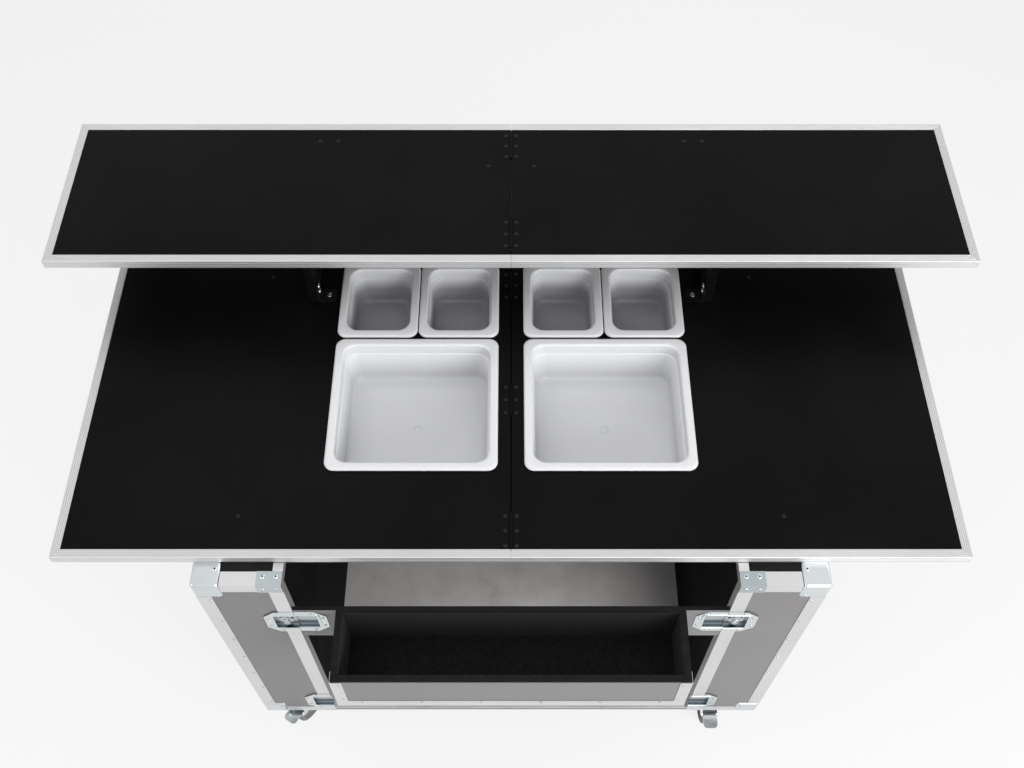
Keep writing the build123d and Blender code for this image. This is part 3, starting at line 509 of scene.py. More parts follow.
# %% Give every node its finish
FINISH_OF_SLOT = {
    "black_laminate": BLACK_LAMINATE,
    "grey_laminate": GREY_LAMINATE,
    "aluminium": CASE_ALUMINIUM,
    "zinc_steel": ZINC,
    "black_steel": BLACK_STEEL,
    "white_plastic": PAN_PLASTIC_WITH_SHADE,
    "black_felt": BLACK_FELT,
    "grey_rubber": GREY_RUBBER,
}
FINISH_OF_NODE = {
    "cavity_floor": CAVITY_FLOOR_LIT_LAMINATE, "inner_walls": WALL_LAMINATE, "column_tops": COLUMN_TOP_LIT_LAMINATE,
    "rack_back_panel": PANEL_LAMINATE, "inner_brackets": BRACKET_ZINC,
}
for hinged_top in ("worktop", "bar"):
    for hinge_side in ("left", "right"):
        FINISH_OF_NODE[f"{hinge_side}_{hinged_top}_hinges"] = BLACK_LAMINATE
SLOT_OF_NODE = {part["node"]: part["material_slot"] for part in frame["record"]["subparts"]}


def paint(piece, finish):
    piece.data.materials.clear()
    piece.data.materials.append(finish)


for node_name, node in NODES.items():
    paint(node, FINISH_OF_NODE.get(node_name, FINISH_OF_SLOT[SLOT_OF_NODE[node_name]]))
print("slots used:", sorted(set(SLOT_OF_NODE.values())))

# %% [markdown]
# ## Surfaces from grids
# Most new pieces here are grids: a shape is worked out as rows and columns of points with numpy, and
# neighbouring points become faces. A shape is a pair: its points, and blocks of faces with the same
# number of corners. A few helpers close such a grid, join shapes, and turn faces outwards.

# %% Helpers that turn point grids into pieces
def grid_faces(rows, columns):
    """Quads between neighbouring points of a grid whose columns run round a closed loop."""
    index = np.arange(rows * columns).reshape(rows, columns)
    ahead = np.roll(index, -1, axis=1)
    return np.stack([index[:-1], ahead[:-1], ahead[1:], index[1:]], axis=-1).reshape(-1, 4)


def fan_faces(loop, centre):
    """Triangles from a centre point to each side of a closed loop."""
    return np.stack([loop, np.roll(loop, -1), np.full(len(loop), centre)], axis=-1)


def closed_loft(loops):
    """A shell through loops of shape (rows, columns, 3), closed by a fan at both ends."""
    rows, columns, _ = loops.shape
    count = rows * columns
    points = np.vstack([loops.reshape(-1, 3), loops[0].mean(axis=0), loops[-1].mean(axis=0)])
    first = fan_faces(np.arange(columns)[::-1], count)
    last = fan_faces(np.arange(count - columns, count), count + 1)
    return outward((points, [grid_faces(rows, columns), np.vstack([first, last])]))


def outward(shape):
    """Turns all faces over if the volume under them, summed over fans of triangles, is negative."""
    points, blocks = shape
    volume = 0.0
    for block in blocks:
        first = points[block[:, 0]]
        for corner in range(1, block.shape[1] - 1):
            ahead = np.cross(points[block[:, corner]], points[block[:, corner + 1]])
            volume += float((first * ahead).sum())
    return shape if volume > 0 else (points, [block[:, ::-1] for block in blocks])


def joined(shapes):
    """Several shapes as one: points in a row, and faces counted on from the points before them."""
    start = np.cumsum([0] + [len(points) for points, _ in shapes])
    blocks = [block + first for (_, parts), first in zip(shapes, start) for block in parts]
    return np.vstack([points for points, _ in shapes]), blocks


def revolved(profile, segments=16):
    """A surface of revolution about Z, from rows of (radius, height) in mm, closed at both ends."""
    radius, height = (np.array(profile) * MM).T[..., None]
    angle = np.arange(segments) * 2 * math.pi / segments
    circle = np.stack([radius * np.cos(angle), radius * np.sin(angle)], axis=-1)
    loops = np.concatenate([circle, np.broadcast_to(height[..., None], (*circle.shape[:2], 1))], axis=-1)
    return closed_loft(loops)


def set_out(shape, places, facing):
    """Copies of a shape whose Z axis is turned to facing and whose origin goes to each place."""
    points, blocks = shape
    turn = np.array(Vector((0, 0, 1)).rotation_difference(Vector(facing)).to_matrix())
    places = np.asarray(places, dtype=float)
    copies = (places[:, None, :] + (points @ turn.T)[None]).reshape(-1, 3)
    start = np.arange(len(places))[:, None, None] * len(points)
    return copies, [(block[None] + start).reshape(-1, block.shape[1]) for block in blocks]


def joint_line(name):
    """A point on a joint's axis and the axis itself."""
    joint = next(joint for joint in frame["joints"] if joint["name"] == name)
    return np.array(joint["pos_m"]), joint["axis"]


def add_piece(name, shape, finish, body, sharp_angle=35.0):
    """Makes an object at the origin from a shape, paints it and lets it ride on a body."""
    points, blocks = shape
    mesh = bpy.data.meshes.new(name)
    mesh.from_pydata(points.tolist(), [], [face for block in blocks for face in block.tolist()])
    mesh.update()
    mesh.shade_smooth()
    mesh.set_sharp_from_angle(angle=math.radians(sharp_angle))
    piece = bpy.data.objects.new(name, mesh)
    bpy.context.scene.collection.objects.link(piece)
    paint(piece, finish)
    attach(piece, body)
    return piece


def node_box(name):
    """Lowest and highest corner of a node, as numpy arrays in metres."""
    low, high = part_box(name)
    return np.array(low), np.array(high)


print("worktop height in m:", round(float(node_box("left_worktop")[1][2]), 4))

# %% [markdown]
# ## Food pans
# The pans are thin white mouldings with a rolled rim, a stacking step under it and generous corners.
# Bevelling a solid gives hard creases in the corners. Instead the whole shell is one loft: a rounded
# rectangle that grows, shrinks and sinks along a profile, from the middle of the underside, over the
# rim and down to the middle of the floor.

# %% Profile and loops of a pan
CORNER_POINTS = 14
RIM_ROUND = 4.2 * MM
RIM_LIP = 14.0 * MM
RIM_HEIGHT = 9.0 * MM
PAN_WALL = 3.0 * MM
COLLAR_DEPTH = 28.0 * MM
COLLAR_GAP = 1.5 * MM
STACKING_STEP = 3.6 * MM
SEAT_GAP = 0.1 * MM
LEDGE_ROUND = 0.8 * MM
WALL_TAPER = math.tan(math.radians(3.0))
FLOOR_ROUND = 14.0 * MM
RIM_CORNER = 20.0 * MM
TUB_CORNER = 28.0 * MM


def rounded_loops(half_x, half_y, corner):
    """Rounded rectangles, a row for each: a corner's middle plus corner radius times (cos, sin)."""
    start = np.arange(4)[:, None] * math.pi / 2
    angle = start + np.linspace(0, math.pi / 2, CORNER_POINTS)[None, :]
    sign_x = np.array([1, -1, -1, 1])[:, None]
    sign_y = np.array([1, 1, -1, -1])[:, None]
    half_x, half_y, corner = (value[:, None, None] for value in (half_x, half_y, corner))
    x = sign_x * (half_x - corner) + corner * np.cos(angle)
    y = sign_y * (half_y - corner) + corner * np.sin(angle)
    return np.stack([x, y], axis=-1).reshape(len(x), -1, 2)


def arc_rows(inset, z, radius, start, stop, count=6):
    """Profile rows along an arc about (inset, z), with angles in degrees from the inward direction."""
    angle = np.radians(np.linspace(start, stop, count))
    return np.column_stack([inset + radius * np.cos(angle), z + radius * np.sin(angle)])


def pan_profile(surface, foot):
    """Rows of (inset from the rim's outer edge, height), from the underside over the rim to the floor."""
    rim_top = surface + RIM_HEIGHT
    seat = surface + SEAT_GAP
    collar = RIM_LIP + COLLAR_GAP
    tub = collar + STACKING_STEP
    collar_foot = surface - COLLAR_DEPTH
    base = tub + (collar_foot - foot) * WALL_TAPER
    inner = collar + PAN_WALL
    ledge = tub + PAN_WALL
    step_top = collar_foot + PAN_WALL + STACKING_STEP
    floor = foot + PAN_WALL
    underside = arc_rows(base + FLOOR_ROUND, foot + FLOOR_ROUND, FLOOR_ROUND, 270, 180)
    return np.vstack([
        [(base + FLOOR_ROUND, foot)], underside[1:],
        [(tub, collar_foot), (collar, collar_foot + STACKING_STEP), (collar, seat), (RIM_ROUND, seat)],
        arc_rows(RIM_ROUND, seat + RIM_ROUND, RIM_ROUND, 270, 180)[1:],
        arc_rows(RIM_ROUND, rim_top - RIM_ROUND, RIM_ROUND, 180, 90),
        arc_rows(inner - RIM_ROUND, rim_top - RIM_ROUND, RIM_ROUND, 90, 0),
        [(inner, step_top), (ledge - LEDGE_ROUND, step_top - LEDGE_ROUND)],
        [(ledge, step_top - 2 * LEDGE_ROUND)],
        arc_rows(base + PAN_WALL + FLOOR_ROUND, floor + FLOOR_ROUND, FLOOR_ROUND, 180, 270, 8),
    ])


print("points in a loop:", 4 * CORNER_POINTS)

# %% Loft the six pans
def pan_finish(pan_name):
    return SMALL_PAN_SHADED_PLASTIC if "small" in pan_name else PAN_PLASTIC_WITH_SHADE


def make_pan(node_name):
    """One loop for each row of the profile: shrunk by its inset, at its height, rounder inside the rim."""
    low, high = node_box(node_name)
    middle = (low + high) / 2
    half = (high - low) / 2
    inset, height = pan_profile(high[2] - RIM_HEIGHT, low[2]).T
    share = np.minimum(inset / (RIM_LIP + COLLAR_GAP), 1.0)
    corner = RIM_CORNER + share * (TUB_CORNER - RIM_CORNER)
    flat = rounded_loops(half[0] - inset, half[1] - inset, corner) + middle[:2]
    level = np.broadcast_to(height[:, None, None], (*flat.shape[:2], 1))
    shell = closed_loft(np.concatenate([flat, level], axis=-1))
    finish = pan_finish(node_name)
    pan = add_piece(f"{node_name}_moulding", shell, finish, node_name, sharp_angle=60)
    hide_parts(node_name)
    return middle, low[2] + PAN_WALL


UP = (0, 0, 1)
PAN_KINDS = ("large", "inner_small", "outer_small")
PAN_NAMES = [f"{side}_{kind}_pan" for side in ("left", "right") for kind in PAN_KINDS]
PAN_FLOORS = {name: make_pan(name) for name in PAN_NAMES}
PAN_NUB = revolved([(11.0, -0.3), (10.4, 0.3), (8.4, 1.2), (5.6, 1.8), (2.6, 2.1)], segments=28)
for pan_name, (pan_middle, pan_floor) in PAN_FLOORS.items():
    nub_place = [(pan_middle[0], pan_middle[1], pan_floor)]
    nub = set_out(PAN_NUB, nub_place, UP)
    add_piece(f"{pan_name}_nub", nub, pan_finish(pan_name), pan_name)
print("pans:", {name: round(floor, 4) for name, (_, floor) in PAN_FLOORS.items()})

# %% [markdown]
# ## Grooved metal edges
# Both tops are framed by a drawn aluminium angle: a skirt outside the board, and a flange on top with
# fine grooves, mitred at the outer corners. Bevelled boxes would show neither grooves nor mitres. So one
# profile of the angle is carried along each side, and every point is moved along the bar by its own
# inset, which cuts the mitre. The grain follows the bar, so bars along X and Y have their own finish.

# %% Profile of the metal edge
EDGE_FLANGE = 18.0 * MM
EDGE_FLANGE_WALL = 2.5 * MM
EDGE_SKIRT = 2.0 * MM
EDGE_ROUND = 1.2 * MM
GROOVE_DEPTH = 0.8 * MM
GROOVE_HALF = 0.55 * MM
FLANGE_GROOVES = 4
SKIRT_GROOVES = 2
FLANGE_GROOVE_SPAN = (EDGE_ROUND * 1.6, EDGE_FLANGE * 0.96)
SKIRT_GROOVE_SPAN = np.array([0.85, 0.15])
FLANGE_CHAMFER = 0.4 * MM


def groove_line(start, stop, grooves):
    """Places from start to stop, and the depth at each: evenly spaced V grooves between flat lands."""
    way = 1.0 if stop > start else -1.0
    middles = start + (np.arange(grooves) + 0.5) / grooves * (stop - start)
    across = way * GROOVE_HALF * np.array([-1.0, -0.2, 0.2, 1.0])
    depth = GROOVE_DEPTH * np.array([0.0, 1.0, 1.0, 0.0])
    return (middles[:, None] + across).ravel(), np.tile(depth, grooves)


def edge_profile(height):
    """The angle's outline as (inset, depth): up the skirt, over the flange and back inside."""
    skirt_depth, skirt_inset = groove_line(*height * SKIRT_GROOVE_SPAN, SKIRT_GROOVES)
    flange_inset, flange_depth = groove_line(*FLANGE_GROOVE_SPAN, FLANGE_GROOVES)
    turn = np.linspace(math.pi, math.pi / 2, 6)
    rounding = EDGE_ROUND * np.column_stack([1 + np.cos(turn), 1 - np.sin(turn)])
    outside = np.column_stack([np.append(0.0, skirt_inset), np.append(height, skirt_depth)])
    flange = np.column_stack([flange_inset, flange_depth])
    inside = [
        (EDGE_FLANGE - FLANGE_CHAMFER, 0.0), (EDGE_FLANGE, FLANGE_CHAMFER), (EDGE_FLANGE, EDGE_FLANGE_WALL),
        (EDGE_SKIRT, EDGE_FLANGE_WALL), (EDGE_SKIRT, height),
    ]
    return np.vstack([outside, rounding, flange, inside])


print("grooves on top:", FLANGE_GROOVES, "outside:", SKIRT_GROOVES)

# %% Carry the profile round each half
MITRE_GAP = 0.25 * MM
MIDDLE_GAP = 0.6 * MM


def edge_bar(start, stop, inward, top, profile, mitres):
    """The profile carried from start to stop. At a mitred end a point stands back by its inset."""
    start, stop, inward = (np.array(value, dtype=float) for value in (start, stop, inward))
    along = (stop - start) / np.linalg.norm(stop - start)
    inset, depth = profile.T
    loops = []
    for end, way, mitred in ((start, along, mitres[0]), (stop, -along, mitres[1])):
        set_back = (inset + MITRE_GAP / 2) * mitred
        flat = end + inset[:, None] * inward + set_back[:, None] * way
        loops.append(np.column_stack([flat, top - depth]))
    count = len(profile)
    sides = grid_faces(2, count)
    caps = np.array([np.arange(count)[::-1], np.arange(count) + count])
    return outward((np.vstack(loops), [sides, caps]))


def dress_edge(node_name, body, side):
    """Three bars round one half: service side, outer side and guest side, square at the middle."""
    low, high = node_box(node_name)
    outer_x = low[0] if side < 0 else high[0]
    seam_x = side * MIDDLE_GAP / 2
    front, rear, top = low[1], high[1], high[2]
    profile = edge_profile(top - low[2])
    bars = [
        edge_bar((seam_x, front), (outer_x, front), (0, 1), top, profile, (0, 1)),
        edge_bar((seam_x, rear), (outer_x, rear), (0, -1), top, profile, (0, 1)),
        edge_bar((outer_x, front), (outer_x, rear), (-side, 0), top, profile, (1, 1)),
    ]
    name = f"{node_name}_grooved"
    piece = add_piece(name, joined(bars), EDGE_ALUMINIUM, body, sharp_angle=50)
    piece.data.materials.append(SIDE_ALUMINIUM)
    counts = [sum(len(block) for block in blocks) for _, blocks in bars]
    piece.data.polygons.foreach_set("material_index", np.repeat([0, 0, 1], counts))
    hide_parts(node_name)


EDGE_BODIES = {
    "left_worktop_edge": ("case", -1),
    "right_worktop_edge": ("worktop_flap", 1),
    "left_bar_edge": ("bar_left", -1),
    "right_bar_edge": ("bar_right", 1),
}
for edge_name, (edge_body, edge_side) in EDGE_BODIES.items():
    dress_edge(edge_name, edge_body, edge_side)
print("edges:", list(EDGE_BODIES))

# %% [markdown]
# ## Screws and rivets
# Black socket screws hold the hinges of both tops, and bright rivets hold every angle, cap and
# bracket of the case. Each kind is one small surface of revolution with a sunk middle, and one piece
# per body holds all its copies, which keeps the scene light.

# %% Shapes of the fasteners
BLACK_SCREW = revolved(
    [(4.3, -0.3), (4.3, 0.5), (3.7, 1.05), (2.3, 1.3), (1.7, 1.2), (1.6, 0.3)], segments=12
)
BRIGHT_SCREW = revolved([(5.5, -0.3), (5.5, 0.8), (4.8, 2.0), (3.2, 2.7), (1.6, 2.6), (1.4, 1.0)])
RIVET = revolved([(3.6, -0.3), (3.6, 0.3), (2.9, 1.0), (1.5, 1.25), (1.1, 1.15), (0.95, 0.4)], segments=12)
STUD = revolved([(4.8, -0.3), (4.8, 0.4), (4.0, 1.2), (2.6, 1.6), (1.9, 1.5), (1.8, 0.6)])
# A black plug sunk in each stud's middle: painted shade for the depth of its hole.
STUD_HOLE_SHADE = revolved([(1.75, 0.5), (1.75, 0.9)], segments=12)
DOWN = (0, 0, -1)
SERVICE, GUEST = (0, -1, 0), (0, 1, 0)
LEFT, RIGHT = (-1, 0, 0), (1, 0, 0)


def crossed(first, second):
    """Every pair of one value from first and one from second, as two columns."""
    a, b = np.meshgrid(np.asarray(first), np.asarray(second), indexing="ij")
    return a.ravel(), b.ravel()


def on_plane(axis, level, first, second):
    """Points on the plane where the axis has that level. First and second fill the other two axes."""
    first, second = np.broadcast_arrays(np.asarray(first, dtype=float), np.asarray(second, dtype=float))
    return np.insert(np.column_stack([first.ravel(), second.ravel()]), axis, level, axis=1)


print("faces of a screw:", sum(len(block) for block in BLACK_SCREW[1]))

# %% Screws of the two tops
SCREW_COLUMN = 11.0 * MM
SCREW_ROW = 32.0 * MM
HINGE_HALF = 38.0 * MM
WORKTOP_SINGLES = [(0.540, -0.298), (0.540, 0.302)]
BAR_SINGLES = [(0.050, 0.454), (0.386, 0.530), (0.426, 0.530)]
WORKTOP_HALVES = ((-1, "left", "case"), (1, "right", "worktop_flap"))


def hinge_middles(node_name, count):
    """The hinges' middles along Y: evenly spaced between the first and the last leaf."""
    low, high = node_box(node_name)
    return np.linspace(low[1] + HINGE_HALF, high[1] - HINGE_HALF, count)


def top_screws(side, hinge_node, hinge_count, board_node, singles):
    """The screw places of one half: three down each leaf, and single screws on the open board."""
    rows = (hinge_middles(hinge_node, hinge_count)[:, None] + np.array([-1, 0, 1]) * SCREW_ROW).ravel()
    surface = node_box(board_node)[1][2]
    places = on_plane(2, surface, np.full(len(rows), side * SCREW_COLUMN), rows)
    extra = np.array([(side * x, y, surface) for x, y in singles])
    return np.vstack([places, extra])


for side, name, worktop_body in WORKTOP_HALVES:
    for top, board, body, hinge_count, singles in (
        ("worktop", f"{name}_worktop", worktop_body, 3, WORKTOP_SINGLES),
        ("bar", f"{name}_bar_top", f"bar_{name}", 2, BAR_SINGLES),
    ):
        places = top_screws(side, f"{name}_{top}_hinges", hinge_count, board, singles)
        screws = set_out(BLACK_SCREW, places, UP)
        add_piece(f"{name}_{top}_screws", screws, BLACK_STEEL, body)
        print(name, top, "screws:", len(places))

# %% Screws of the foot brackets
BRACKET_WALL = 3.0 * MM
FOOT_SCREW_REACH = 20.0 * MM
LEAF_SCREW_HEIGHTS = np.array([18.0, 36.0]) * MM
for side, name, body in WORKTOP_HALVES:
    low, high = node_box(f"{name}_foot_bracket")
    middle_y = (low[1] + high[1]) / 2
    leaf_x = high[0] - BRACKET_WALL if side > 0 else low[0] + BRACKET_WALL
    leaf_places = on_plane(0, leaf_x, middle_y, low[2] + LEAF_SCREW_HEIGHTS)
    foot_place = [(leaf_x - side * FOOT_SCREW_REACH, middle_y, low[2] + BRACKET_WALL)]
    leaf_screws = set_out(BRIGHT_SCREW, leaf_places, LEFT if side > 0 else RIGHT)
    foot_screw = set_out(BRIGHT_SCREW, foot_place, UP)
    add_piece(f"{name}_foot_screws", joined([leaf_screws, foot_screw]), RIVET_STEEL, body)
print("foot bracket screws: 3 a side")

# %% Places of the rivets and studs
RIVET_PITCH = 115.0 * MM
ANGLE_RIVET = 24.0 * MM
CAP_STUD = 46.0 * MM
CAP_TOP_STUD = 37.0 * MM
CAP_LEG = 57.0 * MM
UPRIGHT_END, DEPTH_END, WIDTH_END = 1.3 * CAP_LEG, 1.5 * CAP_LEG, 2 * CAP_LEG
BRACKET_STUD_COLUMNS = np.array([12.0, 38.0]) * MM
BRACKET_STUD_DROP = 15.0 * MM
BRACKET_STUD_SETBACK = 21.0 * MM


def mirrored_x(places):
    """The places and their mirror images on the other side of the bar."""
    places = np.asarray(places, dtype=float)
    return np.vstack([places, places * (-1, 1, 1)])


def spaced(start, stop):
    """Places from start to stop, about one rivet pitch apart."""
    return np.linspace(start, stop, max(2, round((stop - start) / RIVET_PITCH) + 1))


def case_rivets():
    """Rivets along the angles, as pairs of facing and places."""
    low, high = node_box("column_frames")
    outside, service, foot, top = high[0], low[1], low[2], high[2]
    guest = node_box("guest_side_frame")[1][1]
    upright_x = outside - ANGLE_RIVET
    heights = spaced(foot + UPRIGHT_END, top - UPRIGHT_END)
    depths = spaced(service + DEPTH_END, guest - DEPTH_END)
    widths = spaced(-outside + WIDTH_END, outside - WIDTH_END)
    rails = [foot + ANGLE_RIVET, top - ANGLE_RIVET]
    side_uprights = on_plane(0, outside, *crossed([service + ANGLE_RIVET, guest - ANGLE_RIVET], heights))
    side_rails = on_plane(0, outside, *crossed(depths, rails))
    right_side = np.vstack([side_uprights, side_rails])
    guest_uprights = mirrored_x(on_plane(1, guest, upright_x, heights))
    guest_rails = on_plane(1, guest, *crossed(widths, rails))
    return [
        (SERVICE, mirrored_x(on_plane(1, service, upright_x, heights))),
        (GUEST, np.vstack([guest_uprights, guest_rails])),
        (RIGHT, right_side),
        (LEFT, right_side * (-1, 1, 1)),
    ]


def cap_studs():
    """A stud in the inner corner of each cap face. The worktop covers the back of a cap's top face."""
    low, high = node_box("corner_caps")
    across = high[0] - CAP_STUD
    heights = [low[2] + CAP_STUD, high[2] - CAP_STUD]
    depths = [low[1] + CAP_STUD, high[1] - CAP_STUD]
    right_side = on_plane(0, high[0], *crossed(depths, heights))
    return [
        (SERVICE, mirrored_x(on_plane(1, low[1], across, heights))),
        (GUEST, mirrored_x(on_plane(1, high[1], across, heights))),
        (RIGHT, right_side),
        (LEFT, right_side * (-1, 1, 1)),
        (UP, mirrored_x([(across, low[1] + CAP_TOP_STUD, high[2])])),
        (DOWN, mirrored_x(on_plane(2, low[2], across, depths))),
    ]


def bracket_studs():
    """Two studs on the top leaf and two on the face leaf of each inner bracket."""
    low, high = node_box("inner_brackets")
    columns = high[0] - BRACKET_STUD_COLUMNS
    face_z = high[2] - BRACKET_STUD_DROP
    top_y = low[1] + BRACKET_STUD_SETBACK
    return [
        (SERVICE, mirrored_x(on_plane(1, low[1], columns, face_z))),
        (UP, mirrored_x(on_plane(2, high[2], columns, top_y))),
    ]


CAP_PLACES = cap_studs() + bracket_studs()
print("studs:", sum(len(places) for _, places in CAP_PLACES))

# %% Rivet the case
RIVETS_OF_HALF_DISH = np.array([(56.0, 20.0), (56.0, -20.0), (34.0, 44.0), (34.0, -44.0)]) * MM


def dish_rivets(node_name, seam, way, heights):
    """Four rivets on the flange of each half dish, measured from the seam it opens at."""
    low, _ = node_box(node_name)
    across, up = RIVETS_OF_HALF_DISH.T
    places = [on_plane(1, low[1], seam + way * across, height + up) for height in heights]
    return [(SERVICE, mirrored_x(np.vstack(places)))]


def add_rivets(name, groups, body, shape=RIVET, finish=RIVET_STEEL):
    """One piece with a copy of the shape at every place, turned to the facing of its group."""
    add_piece(name, joined([set_out(shape, places, way) for way, places in groups]), finish, body)
    print(name, "count:", sum(len(places) for _, places in groups))


DISH_LOW, DISH_HIGH = node_box("latch_dishes")
DISH_HALF = 52.5 * MM
DISH_WIDTH = 64.0 * MM
UPPER_LATCH = DISH_HIGH[2] - DISH_HALF
LOWER_LATCH = DISH_LOW[2] + DISH_HALF
CASE_DISHES = ("latch_dishes", DISH_HIGH[0] - DISH_WIDTH, 1, (UPPER_LATCH, LOWER_LATCH))
RACK_DISHES = ("rack_keepers", node_box("rack_keepers")[1][0], -1, (UPPER_LATCH,))
add_rivets("case_rivets", case_rivets() + dish_rivets(*CASE_DISHES), "case")
add_rivets("cap_studs", CAP_PLACES, "case", STUD, ZINC)
add_rivets("cap_stud_hole_shade", CAP_PLACES, "case", STUD_HOLE_SHADE, BLACK_STEEL)

# %% Rivets of the rack
RACK_RIVET_ROW = np.arange(-2.5, 3.0) * 122.0 * MM
STRIP_RIVET_INSET = 17.0 * MM
STRIP_RIVET_FOOT, STRIP_RIVET_HEAD = 45.0 * MM, 14.0 * MM


def rack_rivets():
    """A row along the bottom angle and two on the front of each corner strip."""
    low, high = node_box("rack_trim")
    strip_x = high[0] - STRIP_RIVET_INSET
    strip_z = [low[2] + STRIP_RIVET_FOOT, high[2] - STRIP_RIVET_HEAD]
    row = on_plane(1, low[1], RACK_RIVET_ROW, low[2] + ANGLE_RIVET)
    return [(SERVICE, np.vstack([row, mirrored_x(on_plane(1, low[1], strip_x, strip_z))]))]


add_rivets("rack_rivets", rack_rivets() + dish_rivets(*RACK_DISHES), "rack")

# %% [markdown]
# ## Latches
# A butterfly latch is a pressed dish: a flat flange, a raised bead round the hollow, and a turning key
# inside. The frame has the flange, the hollow and the key. The bead is a half-round profile carried along
# three sides of the hollow, open at the seam where the two halves meet. Plated steel in a hollow mirrors
# the dark inside of the dish, so painted shade and reflection darken its colour along the walls, by the depth
# behind the flange.

# %% Shade the dishes
DISH_DEPTH = 10.0 * MM
# Painted shade and reflection: the zinc's colours along the depth behind the flange.
DISH_SHADE_TONES = [(0.0, (0.64, 0.675, 0.69)), (0.10, (0.64, 0.675, 0.69)), (0.22, (0.13, 0.155, 0.18)),
              (0.60, (0.20, 0.235, 0.26)), (0.84, (0.42, 0.46, 0.485))]
DISH_GLOSS = (0.14, 0.24)


def zinc_with_painted_dish_shade(name, face):
    """Zinc with painted shade and reflection by the depth behind the flange: bright, then painted dark walls, then
    a paler floor.
    """
    material, tree, shader = start_material(name, Metallic=1.0)
    ramp = tree.nodes.new("ShaderNodeValToRGB")
    while len(ramp.color_ramp.elements) < len(DISH_SHADE_TONES):
        ramp.color_ramp.elements.new(1.0)
    for stop, (place, colour) in zip(ramp.color_ramp.elements, DISH_SHADE_TONES):
        stop.position = place
        stop.color = (*colour, 1.0)
    tree.links.new(axis_share(tree, "Y", face, face + DISH_DEPTH), ramp.inputs["Fac"])
    tree.links.new(ramp.outputs["Color"], shader.inputs["Base Color"])
    place_grain(tree, shader, PLATED_GRAIN, *DISH_GLOSS)
    return material


# Each dish node gets its own zinc with painted shade and reflection.
for dish_node in (CASE_DISHES[0], RACK_DISHES[0]):
    paint(NODES[dish_node], zinc_with_painted_dish_shade(f"{dish_node}_zinc", node_box(dish_node)[0][1]))
print("tones of a dish:", len(DISH_SHADE_TONES))

# %% Bead the hollows and cap the keys
CUP_WIDTH = 46.0 * MM
CUP_HALF_HEIGHT = 33.0 * MM
BEAD_OUT = 3.2 * MM
BEAD_RADIUS = 2.0 * MM
BEAD_CORNER = 7.0 * MM
BEAD_START = 0.3 * MM
BEAD_SINK = 0.2 * MM
BEAD_FLATNESS = 0.7
HUB = revolved([(6.5, -1.0), (6.5, 1.0), (5.6, 1.9), (3.2, 2.4), (2.6, 1.2)], segments=24)


def bead(seam, way, height, face):
    """A half-round profile along the path: in from the seam, round two corners, and back to the seam."""
    reach = CUP_WIDTH + BEAD_OUT
    half = CUP_HALF_HEIGHT + BEAD_OUT
    turn = np.radians(np.linspace(90, 0, 7))
    corner = np.column_stack([np.cos(turn), np.sin(turn)])
    upper = corner * BEAD_CORNER + (reach - BEAD_CORNER, half - BEAD_CORNER)
    path = np.vstack([[(BEAD_START, half)], upper, upper[::-1] * (1, -1), [(BEAD_START, -half)]])
    normal = np.vstack([[(0, 1)], corner, corner[::-1] * (1, -1), [(0, -1)]])
    bow = np.radians(np.linspace(0, 180, 9))
    aside, proud = BEAD_RADIUS * np.cos(bow), BEAD_FLATNESS * BEAD_RADIUS * np.sin(bow)
    flat = path[:, None, :] + normal[:, None, :] * aside[:, None]
    x = seam + way * flat[..., 0]
    y = np.broadcast_to(face + BEAD_SINK - proud, x.shape)
    return closed_loft(np.stack([x, y, height + flat[..., 1]], axis=-1))


def dress_latches(body, node_name, seam, way, heights):
    """Beads each hollow of one node of half dishes, on both sides of the bar."""
    face = node_box(node_name)[0][1]
    beads = [bead(side * seam, side * way, height, face) for height in heights for side in (-1, 1)]
    add_piece(f"{node_name}_beads", joined(beads), ZINC, body)


def dress_keys():
    """A domed hub with a sunk middle on each key."""
    for side in ("left", "right"):
        low, _ = node_box(f"{side}_latch_key")
        pivot, _ = joint_line(f"{side}_key_turn")
        hub = set_out(HUB, [(pivot[0], low[1], pivot[2])], SERVICE)
        add_piece(f"{side}_key_hub", hub, RIVET_STEEL, f"{side}_key")
        paint(NODES[f"{side}_latch_key"], RIVET_STEEL)


dress_latches("case", *CASE_DISHES)
dress_latches("rack", *RACK_DISHES)
dress_keys()
print("latch heights:", round(float(UPPER_LATCH), 4), round(float(LOWER_LATCH), 4))

# %% [markdown]
# ## Casters
# Each caster has a grey rubber tread on a wheel with a sunk face and a hub, and a ball race under its
# top plate. A cylinder shows none of that, so the wheel is a closed outline turned about its axle, and
# the race and the bolts are turned about their own axes. The casters stand as they last rolled, so the
# lines that they turn about come from the frame's joints.

# %% Turn the wheels, races and bolts
HALF_WHEEL = np.array([
    (5.4, 17.0), (15.0, 17.0), (15.6, 16.4), (16.0, 11.0), (18.5, 9.0), (33.0, 9.0), (36.5, 11.0),
    (38.5, 14.5), (40.5, 15.5), (43.5, 15.5), (47.0, 14.0), (49.3, 10.5), (50.0, 5.0),
]) * MM
WHEEL_OUTLINE = np.vstack([HALF_WHEEL * (1, -1), HALF_WHEEL[::-1]])
WHEEL_SEGMENTS = 64
RACE_DROP = 4.5 * MM
RACE_RADIUS = 25.0 * MM
RACE_THICKNESS = 2.4 * MM
RACE_SEGMENTS = 48
BOLT_HEAD = revolved([(6.0, -0.2), (6.0, 1.9), (5.2, 2.4)], segments=6)
BOLT_X, BOLT_Y = 42.0 * MM, 32.0 * MM
PLATE_WALL = 3.0 * MM


